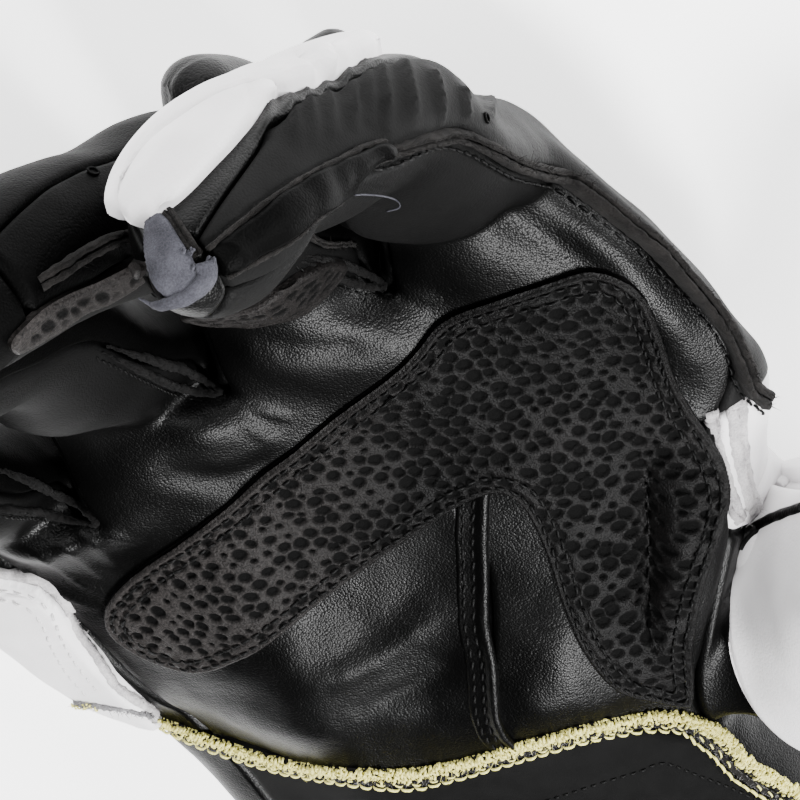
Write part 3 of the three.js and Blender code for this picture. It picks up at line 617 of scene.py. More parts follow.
def thread(name, dark, light, rough=0.6, shine=0.4):
    """Twisted sewing thread."""
    m = Shader(name)
    twist = m.noise(0.16, 3.0, 0.6)
    return m.finish(m.mix(m.span(twist, 0.35, 0.65), dark, light), rough, m.bump(twist, 0.06), shine)


def crackle(name):
    """Embossed crackle leather: dark pits between worn ridges, with a painted sheen that makes the ridges paler
    towards the little finger.
    """
    m = Shader(name)
    pit, fine = m.value("pit"), m.noise(0.35, 4.0, 0.6)
    both = m.math("ADD", m.math("MULTIPLY", fine, 0.5), m.math("MULTIPLY", m.noise(9), 0.6))
    # Painted sheen: the nearer the ridges lie to the little-finger end, the more their colour is mixed towards a
    # paler grey.
    across = m.node("VectorMath", (m.place, (0.91, -0.41, 0.0)), "Value", operation="DOT_PRODUCT")
    ridge = m.mix(m.span(across, -0.048, -0.012, 0.85, 0.0), m.mix(m.span(both, 0.42, 0.72), "040404", "0f0e0e"),
                  m.mix(m.span(fine, 0.3, 0.7), "0c0b0b", "383534"))
    ragged = m.math("MULTIPLY", m.math("SUBTRACT", m.noise(0.5, 4.0, 0.65), 0.5), 0.9)
    colour = m.mix(m.span(m.math("ADD", pit, ragged), 0.05, 0.8), ridge, "030303")
    grain = m.bump(m.cells(0.3), 0.08, 0.8, m.bump(fine, 0.16))
    return m.finish(colour, m.span(pit, 0.0, 0.6, 0.42, 0.9), grain, 0.09)


LOOKS = {  # each look's material and slot
    # smooth black cowhide of the palm and fingers, with a soft gloss
    "black": (leather("black_full_grain_leather", "010101", "030303", 0.34), "black_leather"),
    # the same hide on the stretch side panels, less glossy; its greyer colour is a painted reflection of the pale
    # floor
    "side": (leather("black_side_leather_painted_reflection", "0b0b0b", "1a1a1a", 0.48, shine=0.045), "black_leather"),
    # the softer hide of the finger backs and sides, with little gloss
    "dull": (leather("black_soft_leather", "010101", "020202", 0.5, shine=0.03), "black_leather"),
    # matt black suede of the cuff
    "suede": (suede("black_suede_leather", "020202", "090909"), "black_suede"),
    # raw edges of the seams, greyer than the leather's face, and the darker ones of the slits
    "raw": (suede("black_raw_leather_edge", "040404", "242221", 0.3, 0.25), "black_suede"),
    "lip": (suede("black_slit_edge", "020202", "0f0e0e", 0.3, 0.25), "black_suede"),
    # embossed leather of the grip patches
    "grip": (crackle("grip_crackle_leather"), "grip_leather"),
    # smooth white leather of the guards, and its cut edge, which is greyer and matt
    "white": (leather("white_smooth_leather", "dcdadb", "efedee", 0.5, 0.4, 0.03, 0.05), "white_leather"),
    "white_raw": (suede("white_raw_leather_edge", "8f8c8e", "cfcccc", 0.3, 0.2), "white_leather"),
    # grey suede side of the fingertip leather
    "grey": (suede("grey_suede_leather", "2b2b30", "4c4c53"), "grey_suede"),
    # matt threads and loose fibres
    "yellow": (thread("pale_yellow_thread", "bcb55c", "f0ea96", 0.75), "yellow_thread"),
    "black_thread": (thread("black_bonded_thread", "010101", "0b0b0b", 0.5, 0.12), "black_suede"),
    "white_thread": (thread("white_bonded_thread", "a9a7a8", "e4e2e2"), "white_leather"),
    "grey_fibre": (thread("pale_grey_fibre", "4c4b4e", "8f8e8f", 0.9), "grey_suede"),
}

# Pieces


def add_piece(name, points, faces, look, replaces=(), values=None, looks=(), which=None):
    """A finished piece, in the row frame, from points in the hand's millimetres."""
    mesh = bpy.data.meshes.new(name)
    mesh.from_pydata(to_row(points).tolist(), [], [list(map(int, f)) for f in faces])
    for key, data in (values or {}).items():
        mesh.attributes.new(key, "FLOAT", "POINT").data.foreach_set("value", np.asarray(data, np.float32))
    for entry in (look, *looks):
        mesh.materials.append(LOOKS[entry][0])
    if which is not None:
        mesh.polygons.foreach_set("material_index", np.asarray(which, np.int32))
    mesh.polygons.foreach_set("use_smooth", np.ones(len(faces), bool))
    mesh.update()
    piece = bpy.data.objects.new(name, mesh)
    SCENE.collection.objects.link(piece)
    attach(piece, "root")
    if replaces:
        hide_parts(*replaces)
    return piece


def tree_of_pieces(*names):
    """The surfaces of finished pieces, in the hand's millimetres."""
    points, faces = [], []
    for name in names:
        mesh = bpy.data.objects[name].data
        start = len(points)
        points += [tuple(np.array(v.co) / MM - SHIFT) for v in mesh.vertices]
        faces += [[start + i for i in f.vertices] for f in mesh.polygons]
    return bvhtree.BVHTree.FromPolygons(points, faces)


ROLL = 1.0        # radius by which a sewn edge rolls inward
SEAM = 0.02       # half of the space left in a seam
FOOT = LEATHER - 0.2   # how far a sewn edge goes down
SIDE_GLOSS = 0.2  # how much slower the gloss fades with the distance from the palm on other pieces


def sewn(name, look):
    """A piece of leather cut from the form, with its edges rolled in at the seams."""
    used, quads = np.unique(Q[PIECE == name], return_inverse=True)
    quads = quads.reshape(-1, 4)
    point, normal = P[used], N[used]
    edges = np.concatenate([quads[:, [i, (i + 1) % 4]] for i in range(4)])
    _, first, count = np.unique(np.sort(edges, 1), axis=0, return_index=True, return_counts=True)
    border = edges[first[count == 1]]
    rim = np.unique(border)
    distance = distance_to(kd_of(point[rim]), point)
    centre = np.zeros_like(point)
    for i in range(4):
        np.add.at(centre, quads[:, i], point[quads].mean(1))
    inward = unit(centre / np.bincount(quads.reshape(-1))[:, None] - point)
    tuck = np.clip(1 - distance / ROLL, 0, 1)
    outer = point - normal * (ROLL * (1 - np.sqrt(1 - tuck**2)))[:, None]
    outer[rim] += inward[rim] * SEAM
    inner = outer[border[:, 0]] - normal[border[:, 0]] * FOOT
    below = {int(k): len(point) + i for i, k in enumerate(border[:, 0])}
    walls = [(b, a, below[int(a)], below.get(int(b), below[int(a)])) for a, b in border]
    points = np.concatenate([outer, inner])
    palm = np.unique(Q[(PIECE == name) & (CHART == "hand")])
    away = distance_to(kd_of(P[palm]), points) if len(palm) else np.zeros(len(points))
    add_piece(f"{name}_leather", points, quads.tolist() + walls, look, (name,), {
        "edge_mm": np.concatenate([distance, np.zeros(len(inner))]),
        "from_palm_mm": away * (1 if name == "palm_panel" else SIDE_GLOSS)})


SEWN = {"cuff_front": "suede", "thumb_web_panel": "white", "thumb_inner_panel": "white",
        "index_side_panel": "side", "thumb_outer_panel": "side"}
SOFT = ["middle_back_panel", "ring_back_panel", "little_back_panel", "middle_tip_cap", "ring_tip_cap"]
for name in map(str, np.unique(PIECE)):
    soft = name.startswith("fourchette") or name in SOFT
    sewn(name, SEWN.get(name, "dull" if soft else "black"))

# What is laid on the form, made of bands along paths

dice = random.Random(7)
THREAD_STEPS = 7    # points along one stitch, loop or curl


def circle(radius, sides=6, tall=1.0):
    return [(radius * math.cos(2 * math.pi * i / sides), radius * tall * math.sin(2 * math.pi * i / sides))
            for i in range(sides)]


def straight(normal, count=THREAD_STEPS):
    """The same normal for all points of a path."""
    return np.repeat(normal[None], count, 0)


def rough(points, size, high, seed=0.0):
    """Points moved about by smooth noise of one size and height."""
    offset = Vector((seed, seed * 1.7, -seed))
    return np.array([p + high * np.array(noise.noise_vector(Vector(p) / size + offset)) for p in points])


class Piece:
    """Points and faces of one piece, added bit by bit. Each step gives the piece back."""

    def __init__(self):
        self.points, self.faces, self.which = [], [], []
        self.count = 0

    def add(self, points, faces, which=0):
        self.points.append(np.asarray(points, float).reshape(-1, 3))
        self.faces += [tuple(int(i) + self.count for i in f) for f in faces]
        self.which += [which] * len(faces)
        self.count += len(self.points[-1])
        return self

    def finish(self, name, look, replaces=(), looks=()):
        add_piece(name, np.concatenate(self.points), self.faces, look, replaces, None, looks, self.which)

    def sweep(self, path, profile, noisy=None, closed=False, which=0):
        """A band along a path. The profile is a list of (across, up), or one such list for each point.
        Noisy gives the size, height and seed of the band's unevenness."""
        profile = np.asarray(profile, float)
        if profile.ndim == 2:
            profile = np.repeat(profile[None], len(path[0]), 0)
        grid = (path[0][:, None] + sideways(path)[:, None] * profile[..., :1] + path[1][:, None] * profile[..., 1:])
        n, k = grid.shape[:2]
        ring = profile[n // 2]
        after = np.roll(ring, -1, 0)
        if (ring[:, 0] * after[:, 1] - after[:, 0] * ring[:, 1]).sum() > 0:
            grid = grid[:, ::-1]
        flat = grid.reshape(-1, 3)
        if noisy:
            flat = rough(flat, *noisy)
        faces = [(i * k + j, i * k + (j + 1) % k, ((i + 1) % n) * k + (j + 1) % k, ((i + 1) % n) * k + j)
                 for i in range(n if closed else n - 1) for j in range(k)]
        if not closed:
            faces += [tuple(range(k))[::-1], tuple((n - 1) * k + j for j in range(k))]
        return self.add(flat, faces, which)

    def stitches(self, path, pitch=2.0, share=0.8, radius=0.2, up=0.0, arch=0.12, skew=0.0, miss=0.0):
        """A row of stitches: short threads that dive into the leather at both ends. Share is a thread's part
        of the pitch, arch its rise in the middle, skew its turn, and miss the part of the stitches left out."""
        points, normals = resample(path, pitch)
        for point, normal, tangent in zip(points, normals, np.gradient(points, axis=0)):
            if dice.random() < miss:
                continue
            tangent = unit(tangent)
            angle = skew + dice.gauss(0, 0.07)
            way = tangent * math.cos(angle) + np.cross(tangent, normal) * math.sin(angle)
            long = pitch * share * dice.uniform(0.93, 1.05)
            steps = np.linspace(-0.5, 0.5, THREAD_STEPS)
            middle = [point + way * s * long + normal * (up + arch - (arch + radius * 1.3) * abs(2 * s) ** 3.5)
                      for s in steps]
            width = [radius * (1 - 0.3 * abs(2 * s) ** 4) * dice.uniform(0.93, 1.07) for s in steps]
            self.sweep((np.array(middle), straight(normal)), [circle(w, 6, 0.85) for w in width])
        return self

    def fuzz(self, path, count, long, wide, lift=0.0):
        """Loose fibres that stand out of a raw edge."""
        points, normals = path[0] + path[1] * lift, path[1]
        steps = (0, 0.35, 0.7, 1.0)
        for _ in range(count):
            k = dice.randrange(len(points))
            way = unit(normals[k] + vec(*(dice.gauss(0, 0.8) for _ in range(3))))
            bend = vec(*(dice.gauss(0, 0.45) for _ in range(3)))
            side = unit(np.cross(way, vec(dice.random(), dice.random(), dice.random()))) * wide
            size = long * dice.uniform(0.4, 1.3)
            spine = [points[k] + way * size * t + bend * size * t * t for t in steps]
            strip = [p + side * s * (1 - 0.6 * t) for p, t in zip(spine, steps) for s in (-1, 1)]
            self.add(strip, [(0, 1, 3, 2), (2, 3, 5, 4), (4, 5, 7, 6)])
        return self

    def overlock(self, path, pitch, wide, tall, thick):
        """Loops of thread thrown over a cut edge, close together and uneven: so wide to both sides, so tall."""
        path = resample(path, pitch)
        for point, normal, side in zip(*path, sideways(path)):
            along = unit(np.cross(normal, side))
            start, end = -wide * dice.uniform(0.8, 1.15), wide * dice.uniform(0.7, 1.15)
            lean, slip, lift = dice.gauss(0.5, 0.3), dice.gauss(0, 0.25), tall * dice.uniform(0.75, 1.25)
            t = np.linspace(0, 1, THREAD_STEPS)[:, None]
            line = (point + side * (start + (end - start) * t) + along * (slip + lean * (t - 0.5))
                    + normal * (np.sin(math.pi * t) ** 0.6 * lift - 0.1))
            self.sweep((line, straight(along)), circle(thick * dice.uniform(0.85, 1.2), 5))
        return self

    def curls(self, path, pitch, low, high, size, thick, which=0):
        """Small uneven curls of thread along a seam, between low and high beside it."""
        path = resample(path, pitch)
        for point, normal, side in zip(*path, sideways(path)):
            along = unit(np.cross(normal, side))
            middle = (point + side * dice.uniform(low, high) + normal * dice.uniform(0.4, 1.0)
                      + along * dice.gauss(0, 0.2))
            start, turned, radius = dice.uniform(0, 6.3), dice.uniform(2.6, 5.0), size * dice.uniform(0.7, 1.3)
            tip = unit(side * dice.gauss(0, 1) + normal * dice.gauss(0.3, 1) + along * 0.3)
            other = unit(np.cross(tip, along + side * 0.5))
            angle = start + np.linspace(0, turned, THREAD_STEPS)[:, None]
            line = middle + (tip * np.cos(angle) + other * np.sin(angle)) * radius
            self.sweep((line, straight(unit(np.cross(tip, other)))), circle(thick, 5), which=which)
        return self


# Grip patches: embossed leather cut to an outline, sewn down with two rows of stitches

PATCH_OUTLINE = [  # x, y, from the little-finger end along the upper edge to the thumb and back below
    (-47, -32), (-41.4, -27.3), (-26.3, -20.4), (-8, -13.6), (9.5, -7), (17, -3.6), (25.7, -2.4),
    (33.8, -2.8), (39.5, -4.6), (42.3, -9), (42.3, -17), (41, -28), (42, -40), (40.5, -46.5), (35.5, -53),
    (31, -59.5), (27.5, -66), (25.3, -73), (22.8, -78), (18.6, -73.5), (15, -67.7), (13.8, -59.7), (14, -51.5),
    (15.2, -42), (14.8, -34), (10.3, -31.8), (-3, -35), (-20.6, -40), (-37, -45), (-43.5, -43), (-47.5, -37.5),
]
EDGE_ROWS = (1.1, 2.7)        # how far the two stitch rows lie inside the patch's edge
PIT_STEP = 2.6                # distance between the middles of two pits
PIT_DEEP = 0.6
PIT_LEAN = math.radians(-18)  # direction of the rows of pits
PIT_SQUASH = 0.8              # how close the rows of pits are to each other
PATCH_CELL = 0.25             # size of the patch's faces
SHEET_CELL = 0.3              # size of a plain sheet's faces
SHEET_FOOT = 0.3              # how far a sheet's edge goes down into the leather
EDGE_ROUND = 0.8              # radius of a sheet's rounded edge
ROW_SINK = 0.3                # how deep a stitch row draws a sheet down
STOP_STEPS = 8                # points of an outline between two of its stops
PX = 7.2                      # pixels of the picture to a millimetre of the glove


def within(points, loop):
    """Whether each point lies inside a loop."""
    x, y = points.T
    count = np.zeros(len(points), int)
    for (ax, ay), (bx, by) in zip(loop, np.roll(loop, -1, 0)):
        if ay != by:
            count += ((ay > y) != (by > y)) & (x < (bx - ax) * (y - ay) / (by - ay) + ax)
    return count % 2 == 1


def lattice(low, top, step):
    rows = int((top[1] - low[1]) / (step * 0.866)) + 2
    columns = int((top[0] - low[0]) / step) + 2
    i, j = np.meshgrid(np.arange(columns), np.arange(rows))
    return np.stack([low[0] + (i + 0.5 * (j % 2)) * step, low[1] + j * step * 0.866], -1).reshape(-1, 2)


def pits(points, lean):
    """How deep in a pit each flat point lies, from 0 on a ridge to 1."""
    c, s = math.cos(lean), math.sin(lean)
    flat = points @ np.array([[c, s], [-s, c]]).T
    squashed = flat / [1, PIT_SQUASH]
    seeds = lattice(squashed.min(0) - 3, squashed.max(0) + 3, PIT_STEP) * [1, PIT_SQUASH]
    shake = random.Random(3)
    seeds = np.array([s + [shake.gauss(0, 0.13 * PIT_STEP), shake.gauss(0, 0.1 * PIT_STEP)] for s in seeds])
    size = np.array([shake.choice((0.2, 0.36, 0.4, 0.43)) * shake.uniform(0.88, 1.1) * PIT_STEP for _ in seeds])
    slim = np.array([shake.uniform(0.66, 0.95) for _ in seeds])
    angle = np.array([shake.gauss(0, 0.3) for _ in seeds])
    tree = kd_of(seeds)
    depth = np.zeros(len(flat))
    for k, p in enumerate(flat):
        best = []
        for _, i, _ in tree.find_n((p[0], p[1], 0), 4):
            dx, dy = p - seeds[i]
            c, s = math.cos(angle[i]), math.sin(angle[i])
            best.append(math.hypot((dx * c + dy * s) / size[i], (-dx * s + dy * c) / (size[i] * slim[i])))
        best.sort()
        hollow = min(max((1.2 - best[0]) / 0.6, 0), 1)
        ridge = min(max((best[1] - best[0] - 0.02) / 0.25, 0), 1)
        depth[k] = hollow * hollow * (3 - 2 * hollow) * ridge
    return depth


def from_above(spot):
    return Vector((*spot, 80.0)), Vector((0, 0, -1))


def from_camera(spot):
    return Vector(EYE), Vector(sight(spot[0] * PX, spot[1] * PX))


def laid_sheet(name, look, outline, tree, cell, view, thick, deep=0.0, edge_rows=(), lean=0.0, nodes=()):
    """A sheet laid over a surface inside an outline, with pits if it is embossed. It gives its stitch rows."""
    n = len(outline)
    loop = np.array(outline, float)
    loop = [cubic(loop[i - 1], loop[i], loop[(i + 1) % n], loop[(i + 2) % n], k / STOP_STEPS)
            for i in range(n) for k in range(STOP_STEPS)]
    loop = evenly(np.vstack([loop, loop[:1]]), cell * 1.3)[:-1]
    n = len(loop)
    inner = lattice(loop.min(0), loop.max(0), cell)
    inner = inner[within(inner, loop)]
    edge_tree = kd_of(evenly(np.vstack([loop, loop[:1]]), 0.2)[:-1])
    flat = np.concatenate([loop, inner[distance_to(edge_tree, inner) > cell * 0.6]])
    none = np.zeros(len(flat))
    ring = [(i, (i + 1) % n) for i in range(n)]
    _, _, faces, *_ = geometry.delaunay_2d_cdt([Vector(p) for p in flat], ring, [], 1, 1e-5)
    base = np.array([tuple(tree.ray_cast(*view(p))[0] or (np.nan,) * 3) for p in flat])
    tris = np.array([f for f in faces if not np.isnan(base[list(f)]).any()])
    a, b, c = (base[tris[:, i]] for i in range(3))
    normal = np.zeros_like(base)
    for i in range(3):
        np.add.at(normal, tris[:, i], np.cross(b - a, c - a))
    normal = unit(normal)
    if np.nanmean((normal * np.array(view(flat[0])[1])).sum(1)) > 0:
        tris, normal = tris[:, ::-1], -normal
    inside = distance_to(edge_tree, flat)
    inside[:n] = 0
    beside_row = lambda wide: sum((np.exp(-(((inside - row) / wide) ** 2)) for row in edge_rows), none)
    pit = pits(flat, lean) * np.clip(inside - 0.5, 0, 1) * (1 - 0.6 * beside_row(0.45)) if deep else none
    round_edge = np.sqrt(1 - (1 - np.clip(inside / EDGE_ROUND, 0, 1)) ** 2)
    height = LIFT + thick * (0.35 + 0.65 * round_edge) - ROW_SINK * beside_row(0.38) - deep * pit
    foot = base[:n] - normal[:n] * SHEET_FOOT
    points = np.concatenate([base + normal * height[:, None], foot])
    start = len(flat)
    skirt = [(j, i, start + i, start + j) for i, j in ring if not np.isnan(foot[[i, j]]).any()]
    points[np.isnan(points).any(1)] = np.nanmean(points, 0)
    add_piece(name, points, tris.tolist() + skirt, look, nodes, {
        "pit": np.concatenate([pit, none[:n]]), "edge_mm": np.concatenate([inside, none[:n]])})
    surface = tree_of(points, tris)
    way = unit(np.roll(loop, -1, 0) - np.roll(loop, 1, 0))
    inward = np.stack([-way[:, 1], way[:, 0]], 1)
    if not within(loop[:1] + inward[:1] * 0.5, loop)[0]:
        inward = -inward
    rows = []
    for inset in edge_rows:
        line = loop + inward * inset
        line = line[distance_to(edge_tree, line) > inset - 0.12]
        hits = [surface.ray_cast(*view(p)) for p in np.vstack([line, line[:1]])]
        rows.append((np.array([hit[0] for hit in hits if hit[0]]),
                     smoothed(np.array([hit[1] for hit in hits if hit[0]]), 12)))
    return rows


def seen_sheet(name, look, pixels, thick, deep=0.0):
    """A sheet over what the camera sees inside an outline of pixels."""
    laid_sheet(name, look, [(x / PX, y / PX) for x, y in pixels], FORM, SHEET_CELL, from_camera, thick, deep)


on_palm = (CHART == "hand") & np.isin(PIECE, ["palm_panel", "thenar_panel"])
rows = Piece()
for row in laid_sheet("palm_grip", "grip", PATCH_OUTLINE, tree_of(P, Q[on_palm]), PATCH_CELL, from_above, PATCH,
                      PIT_DEEP, EDGE_ROWS, PIT_LEAN, ("palm_grip_patch",)):
    rows.stitches(row, 1.9, 0.86, 0.22, 0.12, 0.16, 0.12)
rows.finish("palm_grip_stitches", "black_thread")

# Raised seams: raw leather edges that stand up, with stitches beside them

SPREAD = 0.27       # how far each cut edge lies from the middle of its seam, as a share of the seam's width
CUT_EDGE = [(-0.5, -0.4), (-0.5, 0.6), (-0.38, 0.92), (-0.05, 1.0), (0.28, 0.95), (0.45, 0.7), (0.5, -0.4)]


def raised_seam(name, stops, wide, high, hairs, row=None):
    """Two cut edges side by side, rough on top, with fibres and a row of stitches beside them."""
    path = path_on(stops, 0.45)
    count = len(path[0])
    t = np.linspace(0, 1, count)
    ends = np.clip(np.minimum(t, 1 - t) / 0.12, 0, 1)
    tall = (high[0] + (high[1] - high[0]) * t) * (0.25 + 0.75 * np.sqrt(ends))
    thick = np.linspace(*wide, count)
    lean = np.array([noise.noise(Vector((k * 0.045, 3.1, 0))) for k in range(count)])
    seam, crest = Piece(), []
    for sign in (-1, 1):
        level = 1 if sign < 0 else 0.9
        profile = [[(w * (sign * SPREAD + a * 0.5) + lean[k] * 0.5 * max(h, 0), h * tall[k] * level)
                    for a, h in CUT_EDGE] for k, w in enumerate(thick)]
        seam.sweep(path, profile, (0.9, 0.22, 5.0 + sign))
        crest.append(path[0] + sideways(path) * (thick * sign * SPREAD + lean * 0.5)[:, None]
                     + path[1] * (tall * 0.92)[:, None])
    for line in crest:
        seam.fuzz((line, path[1]), hairs // 2, 0.7, 0.045)
    seam.finish(name, "raw", (f"{name}_welt",))
    if row:
        Piece().stitches(beside(path, row), 2.0, 0.8, 0.2, 0.12, 0.14, 0.1).finish(f"{name}_stitches", "black_thread")


raised_seam("index_seam", [
    ("hand", 8.7, 5.8), ("hand", 8.4, 6.15), ("hand", 8.12, 6.6), ("hand", 8, 7.1), ("hand", 8, 7.7),
    ("index", 1.95, 0.2), ("index", 1.95, 1), ("index", 2.05, 2), ("index", 1.98, 3), ("index", 2.25, 3.8),
    ("index", 2.35, 4.4),
], (2.5, 1.3), (3.2, 1.3), 900, -1.75)


def grid_faces(m, n):
    """A grid's faces, the ring of its rim, and the walls from it down to a foot ring after the grid's points."""
    index = np.arange(m * n).reshape(m, n)
    faces = [(index[i, j], index[i, j + 1], index[i + 1, j + 1], index[i + 1, j])
             for i in range(m - 1) for j in range(n - 1)]
    ring = np.concatenate([index[0], index[1:, -1], index[-1, -2::-1], index[-2:0:-1, 0]])
    count = len(ring)
    walls = [(ring[(i + 1) % count], ring[i], m * n + i, m * n + (i + 1) % count) for i in range(count)]
    return faces, ring, walls


def seam_allowance(name, upper, lower, columns=15):
    """A wide seam allowance that folds flat over a finger between two lines of pixels, with cut edges."""
    borders = [seen_row(pixels, 0.5) for pixels in (upper, lower)]
    count = max(len(points) for points, _ in borders)
    even = np.linspace(0, 1, count)
    borders = [[np.stack([np.interp(even, np.linspace(0, 1, len(part)), column) for column in part.T], 1)
                for part in path] for path in borders]
    s = np.linspace(0, 1, columns)[None, :, None]
    base, out = (a[:, None] * (1 - s) + b[:, None] * s for a, b in zip(*borders))
    out = unit(out)
    s, k = s[..., 0], np.arange(count)[:, None]
    rim = np.minimum(np.minimum(s, 1 - s) * 9, np.minimum(k, k[::-1]) / 4)
    rolled = 0.75 * np.sqrt(np.clip(rim, 0, 1)) + 0.25 * np.exp(-((rim - 1.0) / 0.5) ** 2)
    belly = 4 * s * (1 - s)
    top = rough((base + out * (0.5 + rolled + belly)[..., None]).reshape(-1, 3), 3.0, 0.3, 6.0)
    faces, ring, walls = grid_faces(count, columns)
    faces += walls
    if np.cross(top[1] - top[0], top[columns] - top[0]) @ out[0, 0] < 0:
        faces = [f[::-1] for f in faces]
    foot = (base - out * 0.6).reshape(-1, 3)[ring]
    add_piece(name, np.concatenate([top, foot]), faces, "dull", (), {
        "edge_mm": np.concatenate([np.clip(rim, 0, 2).reshape(-1) * 0.7, np.zeros(len(ring))])})
    edges = Piece()
    for points, normals in borders:
        border = (points + normals * 0.75, normals)
        edges.sweep(border, [(-0.3, -0.5), (-0.28, 0.35), (0.05, 0.55), (0.3, 0.3), (0.3, -0.5)], (0.8, 0.2, 3.0))
        edges.fuzz(border, 160, 0.5, 0.035, 0.3)
    edges.finish(f"{name}_edges", "raw")


seam_allowance(
    "index_seam_allowance",
    [(380, 142), (358, 148), (340, 158), (304, 178), (276, 196), (252, 213), (226, 233), (206, 250)],
    [(392, 152), (372, 160), (352, 174), (336, 196), (308, 220), (286, 241), (260, 256), (224, 276)])

raised_seam("middle_seam", [
    ("middle", 2, 1.05), ("middle", 2, 2), ("middle", 2, 3), ("middle", 2.3, 4), ("middle", 2.6, 5),
    ("middle", 2.8, 5.8),
], (0.6, 1.7), (0.3, 1.9), 200)

# The slits between the fingers: a raw lip runs along one side, round the crotch end and back
SLITS = [
    # name, how far the lips gape at the open end and at their widest near the crotch, pixels along the slit
    ("ring_little", 4.4, 2.2, [(-14, 484), (12, 491), (40, 499), (68, 508), (94, 520)]),
    ("middle_ring", 0.1, 1.9, [(104, 347), (130, 357), (165, 371), (195, 382), (217, 390)]),
    ("index_middle", 0.1, 1.2, [(304, 256), (328, 264), (352, 273), (381, 284)]),
]
LIP = [(-0.6, -0.9), (-0.6, 0.4), (-0.35, 0.95), (0.1, 0.9), (0.45, 0.5), (0.6, -0.9)]
for name, far_gap, near_gap, pixels in SLITS:
    line, normals = seen_row([(x, y + 2) for x, y in pixels], 0.3)
    t = np.linspace(0, 1, len(line))
    gap = far_gap + (near_gap - far_gap) * np.clip(t / 0.72, 0, 1)
    half = (0.42 + 0.5 * gap * np.sqrt(np.clip((1 - t) / 0.22, 0, 1)))[:, None]
    side, onward = sideways((line, normals)), unit(line[-1] - line[-4])
    bend = np.linspace(0, math.pi, 9)[1:-1, None]
    end = line[-1] + half[-1] * (side[-1] * np.cos(bend) + onward * np.sin(bend))
    spots = np.concatenate([line + side * half, end, (line - side * half)[::-1]])
    outs = np.concatenate([normals, np.repeat(normals[-1:], len(end), 0), normals[::-1]])
    lip = (smoothed(spots, 3), outs)
    count = len(spots)
    k = np.linspace(0, 1, count)
    swell = np.clip(np.minimum(k, 1 - k) / 0.16, 0.12, 1) ** 0.7
    swell *= 1 + 0.3 * np.array([noise.noise(Vector((i * 0.16, far_gap, 1.0))) for i in range(count)])
    profile = [[(x * w, h * 0.62 * w) for x, h in LIP] for w in swell]
    Piece().sweep(lip, profile, (0.5, 0.3, 4.0)).fuzz(lip, 380, 0.35, 0.035, 0.4).finish(
        f"crotch_lips_{name}", "lip", (f"crotch_welt_{name}",))
    Piece().stitches((line + side * (half + 1.0), normals), 1.4, 0.8, 0.13, 0.1, 0.1, 0.2).finish(
        f"crotch_stitches_{name}", "black_thread")

# The lap: the little-finger half of the palm folded over the thumb half
lap = path_on([("hand", 5.05, 3.05), ("hand", 5.0, 4.25), ("hand", 4.87, 4.8), ("hand", 5, 5.3), ("hand", 5.2, 5.75),
               ("hand", 5.3, 6.05)], 0.5)
Piece().sweep(lap, [
    (-3.4, -0.4), (-3.3, 0.15), (-2.9, 0.22), (-2.35, 0.12), (-1.6, 0.3), (-1.0, 0.22), (-0.5, 0.45),
    (-0.05, 0.75), (0.4, 0.88), (0.8, 0.8), (1.15, 0.52), (1.25, 0.1), (1.0, -0.4),
], (2.2, 0.1, 2.0)).finish("palm_lap", "black", ("palm_lap_edge",))
rows = Piece()
for offset, up in ((-2.35, 0.1), (-1.0, 0.2)):
    rows.stitches(beside(lap, offset, up), 2.0, 0.8, 0.2, 0.1, 0.14, 0.12)
rows.finish("palm_lap_stitches", "black_thread")

# The folded binding round the cuff's mouth
mouth = [part[:-1] for part in path_on([("hand", k, 0.0) for k in range(RING)], 0.7, 8)]
Piece().sweep(mouth, [
    (-0.4, -1.9), (-0.9, -0.8), (-0.7, 0.6), (0.3, 1.0), (2.2, 0.8), (3.4, 0.5), (3.5, 0.1), (2.5, -0.2),
], (4.0, 0.3, 1.0), True).finish("cuff_edge_binding", "suede", ("cuff_binding",))
Piece().stitches(beside(mouth, 2.5, 0.75), 2.6, 0.8, 0.22, 0.1, 0.12).finish("cuff_edge_stitches", "black_thread")

# Pads with rolled edges on the limbs

PADS = [
    # name, node, look, limb, thickness, crown, then rows: place along the limb, the two places round it reached
    ("index_knuckle_shell", "index_knuckle_guard", "white", "index", 2.6, 0.7, [
        (3.1, 4.3, 4.8), (3.35, 4.2, 5.3), (3.6, 4.2, 5.9), (4.2, 4.2, 6.2), (4.7, 4.2, 6.3), (5.3, 4.95, 6.3),
        (5.8, 5.4, 6.3), (6.45, 5.6, 6.25)]),
    ("index_finger_shell", "index_tip_guard", "white", "index", 1.5, 0.6, [
        (4.7, 4.25, 4.9), (5.3, 4.25, 5.3), (5.8, 4.3, 5.7), (6.3, 4.5, 5.9), (6.75, 4.85, 5.9)]),
    ("index_knuckle_cushion", "index_knuckle_pad", "black", "index", 4.6, 0.6, [
        (2.75, 5.0, 6.3), (2.95, 4.9, 6.5), (3.2, 5.05, 6.4)]),
    ("middle_knuckle_shell", "middle_knuckle_guard", "black", "middle", 5.6, 0.8, [
        (2.35, 3.7, 4.5), (2.6, 3.5, 4.7), (3.1, 3.5, 4.7), (3.35, 3.7, 4.5)]),
    ("little_side_shell", "little_side_guard", "white", "hand", 1.9, 0.8, [
        (3.15, 18.9, 19.75), (4, 18.4, 19.85), (5, 18.2, 19.95), (6, 18.2, 20.0), (7, 18.2, 20.05),
        (7.75, 18.4, 19.9)]),
    ("thumb_outer_shell", "thumb_guard_lower", "white", "thumb", 2.6, 1.0, [
        (0.3, -0.15, 0.45), (0.6, -0.15, 0.95), (0.85, -0.12, 1.8), (1.15, 0.0, 2.3), (2, 0.0, 2.4), (3, 0.05, 2.3),
        (3.8, 0.3, 2)]),
    ("thumb_web_shell", "thumb_guard_upper", "white", "thumb", 1.6, 0.5, [
        (0.5, 6.2, 7.75), (1, 6.1, 7.8), (2, 6.1, 7.8), (3, 6.2, 7.75), (3.7, 6.4, 7.6)]),
    ("middle_finger_grip", "middle_grip_patch", "grip", "middle", 0.9, 0.1, [
        (0.9, 0.5, 1.5), (1.2, 0.25, 1.75), (1.7, 0.2, 1.8), (2.2, 0.4, 1.6)]),
]
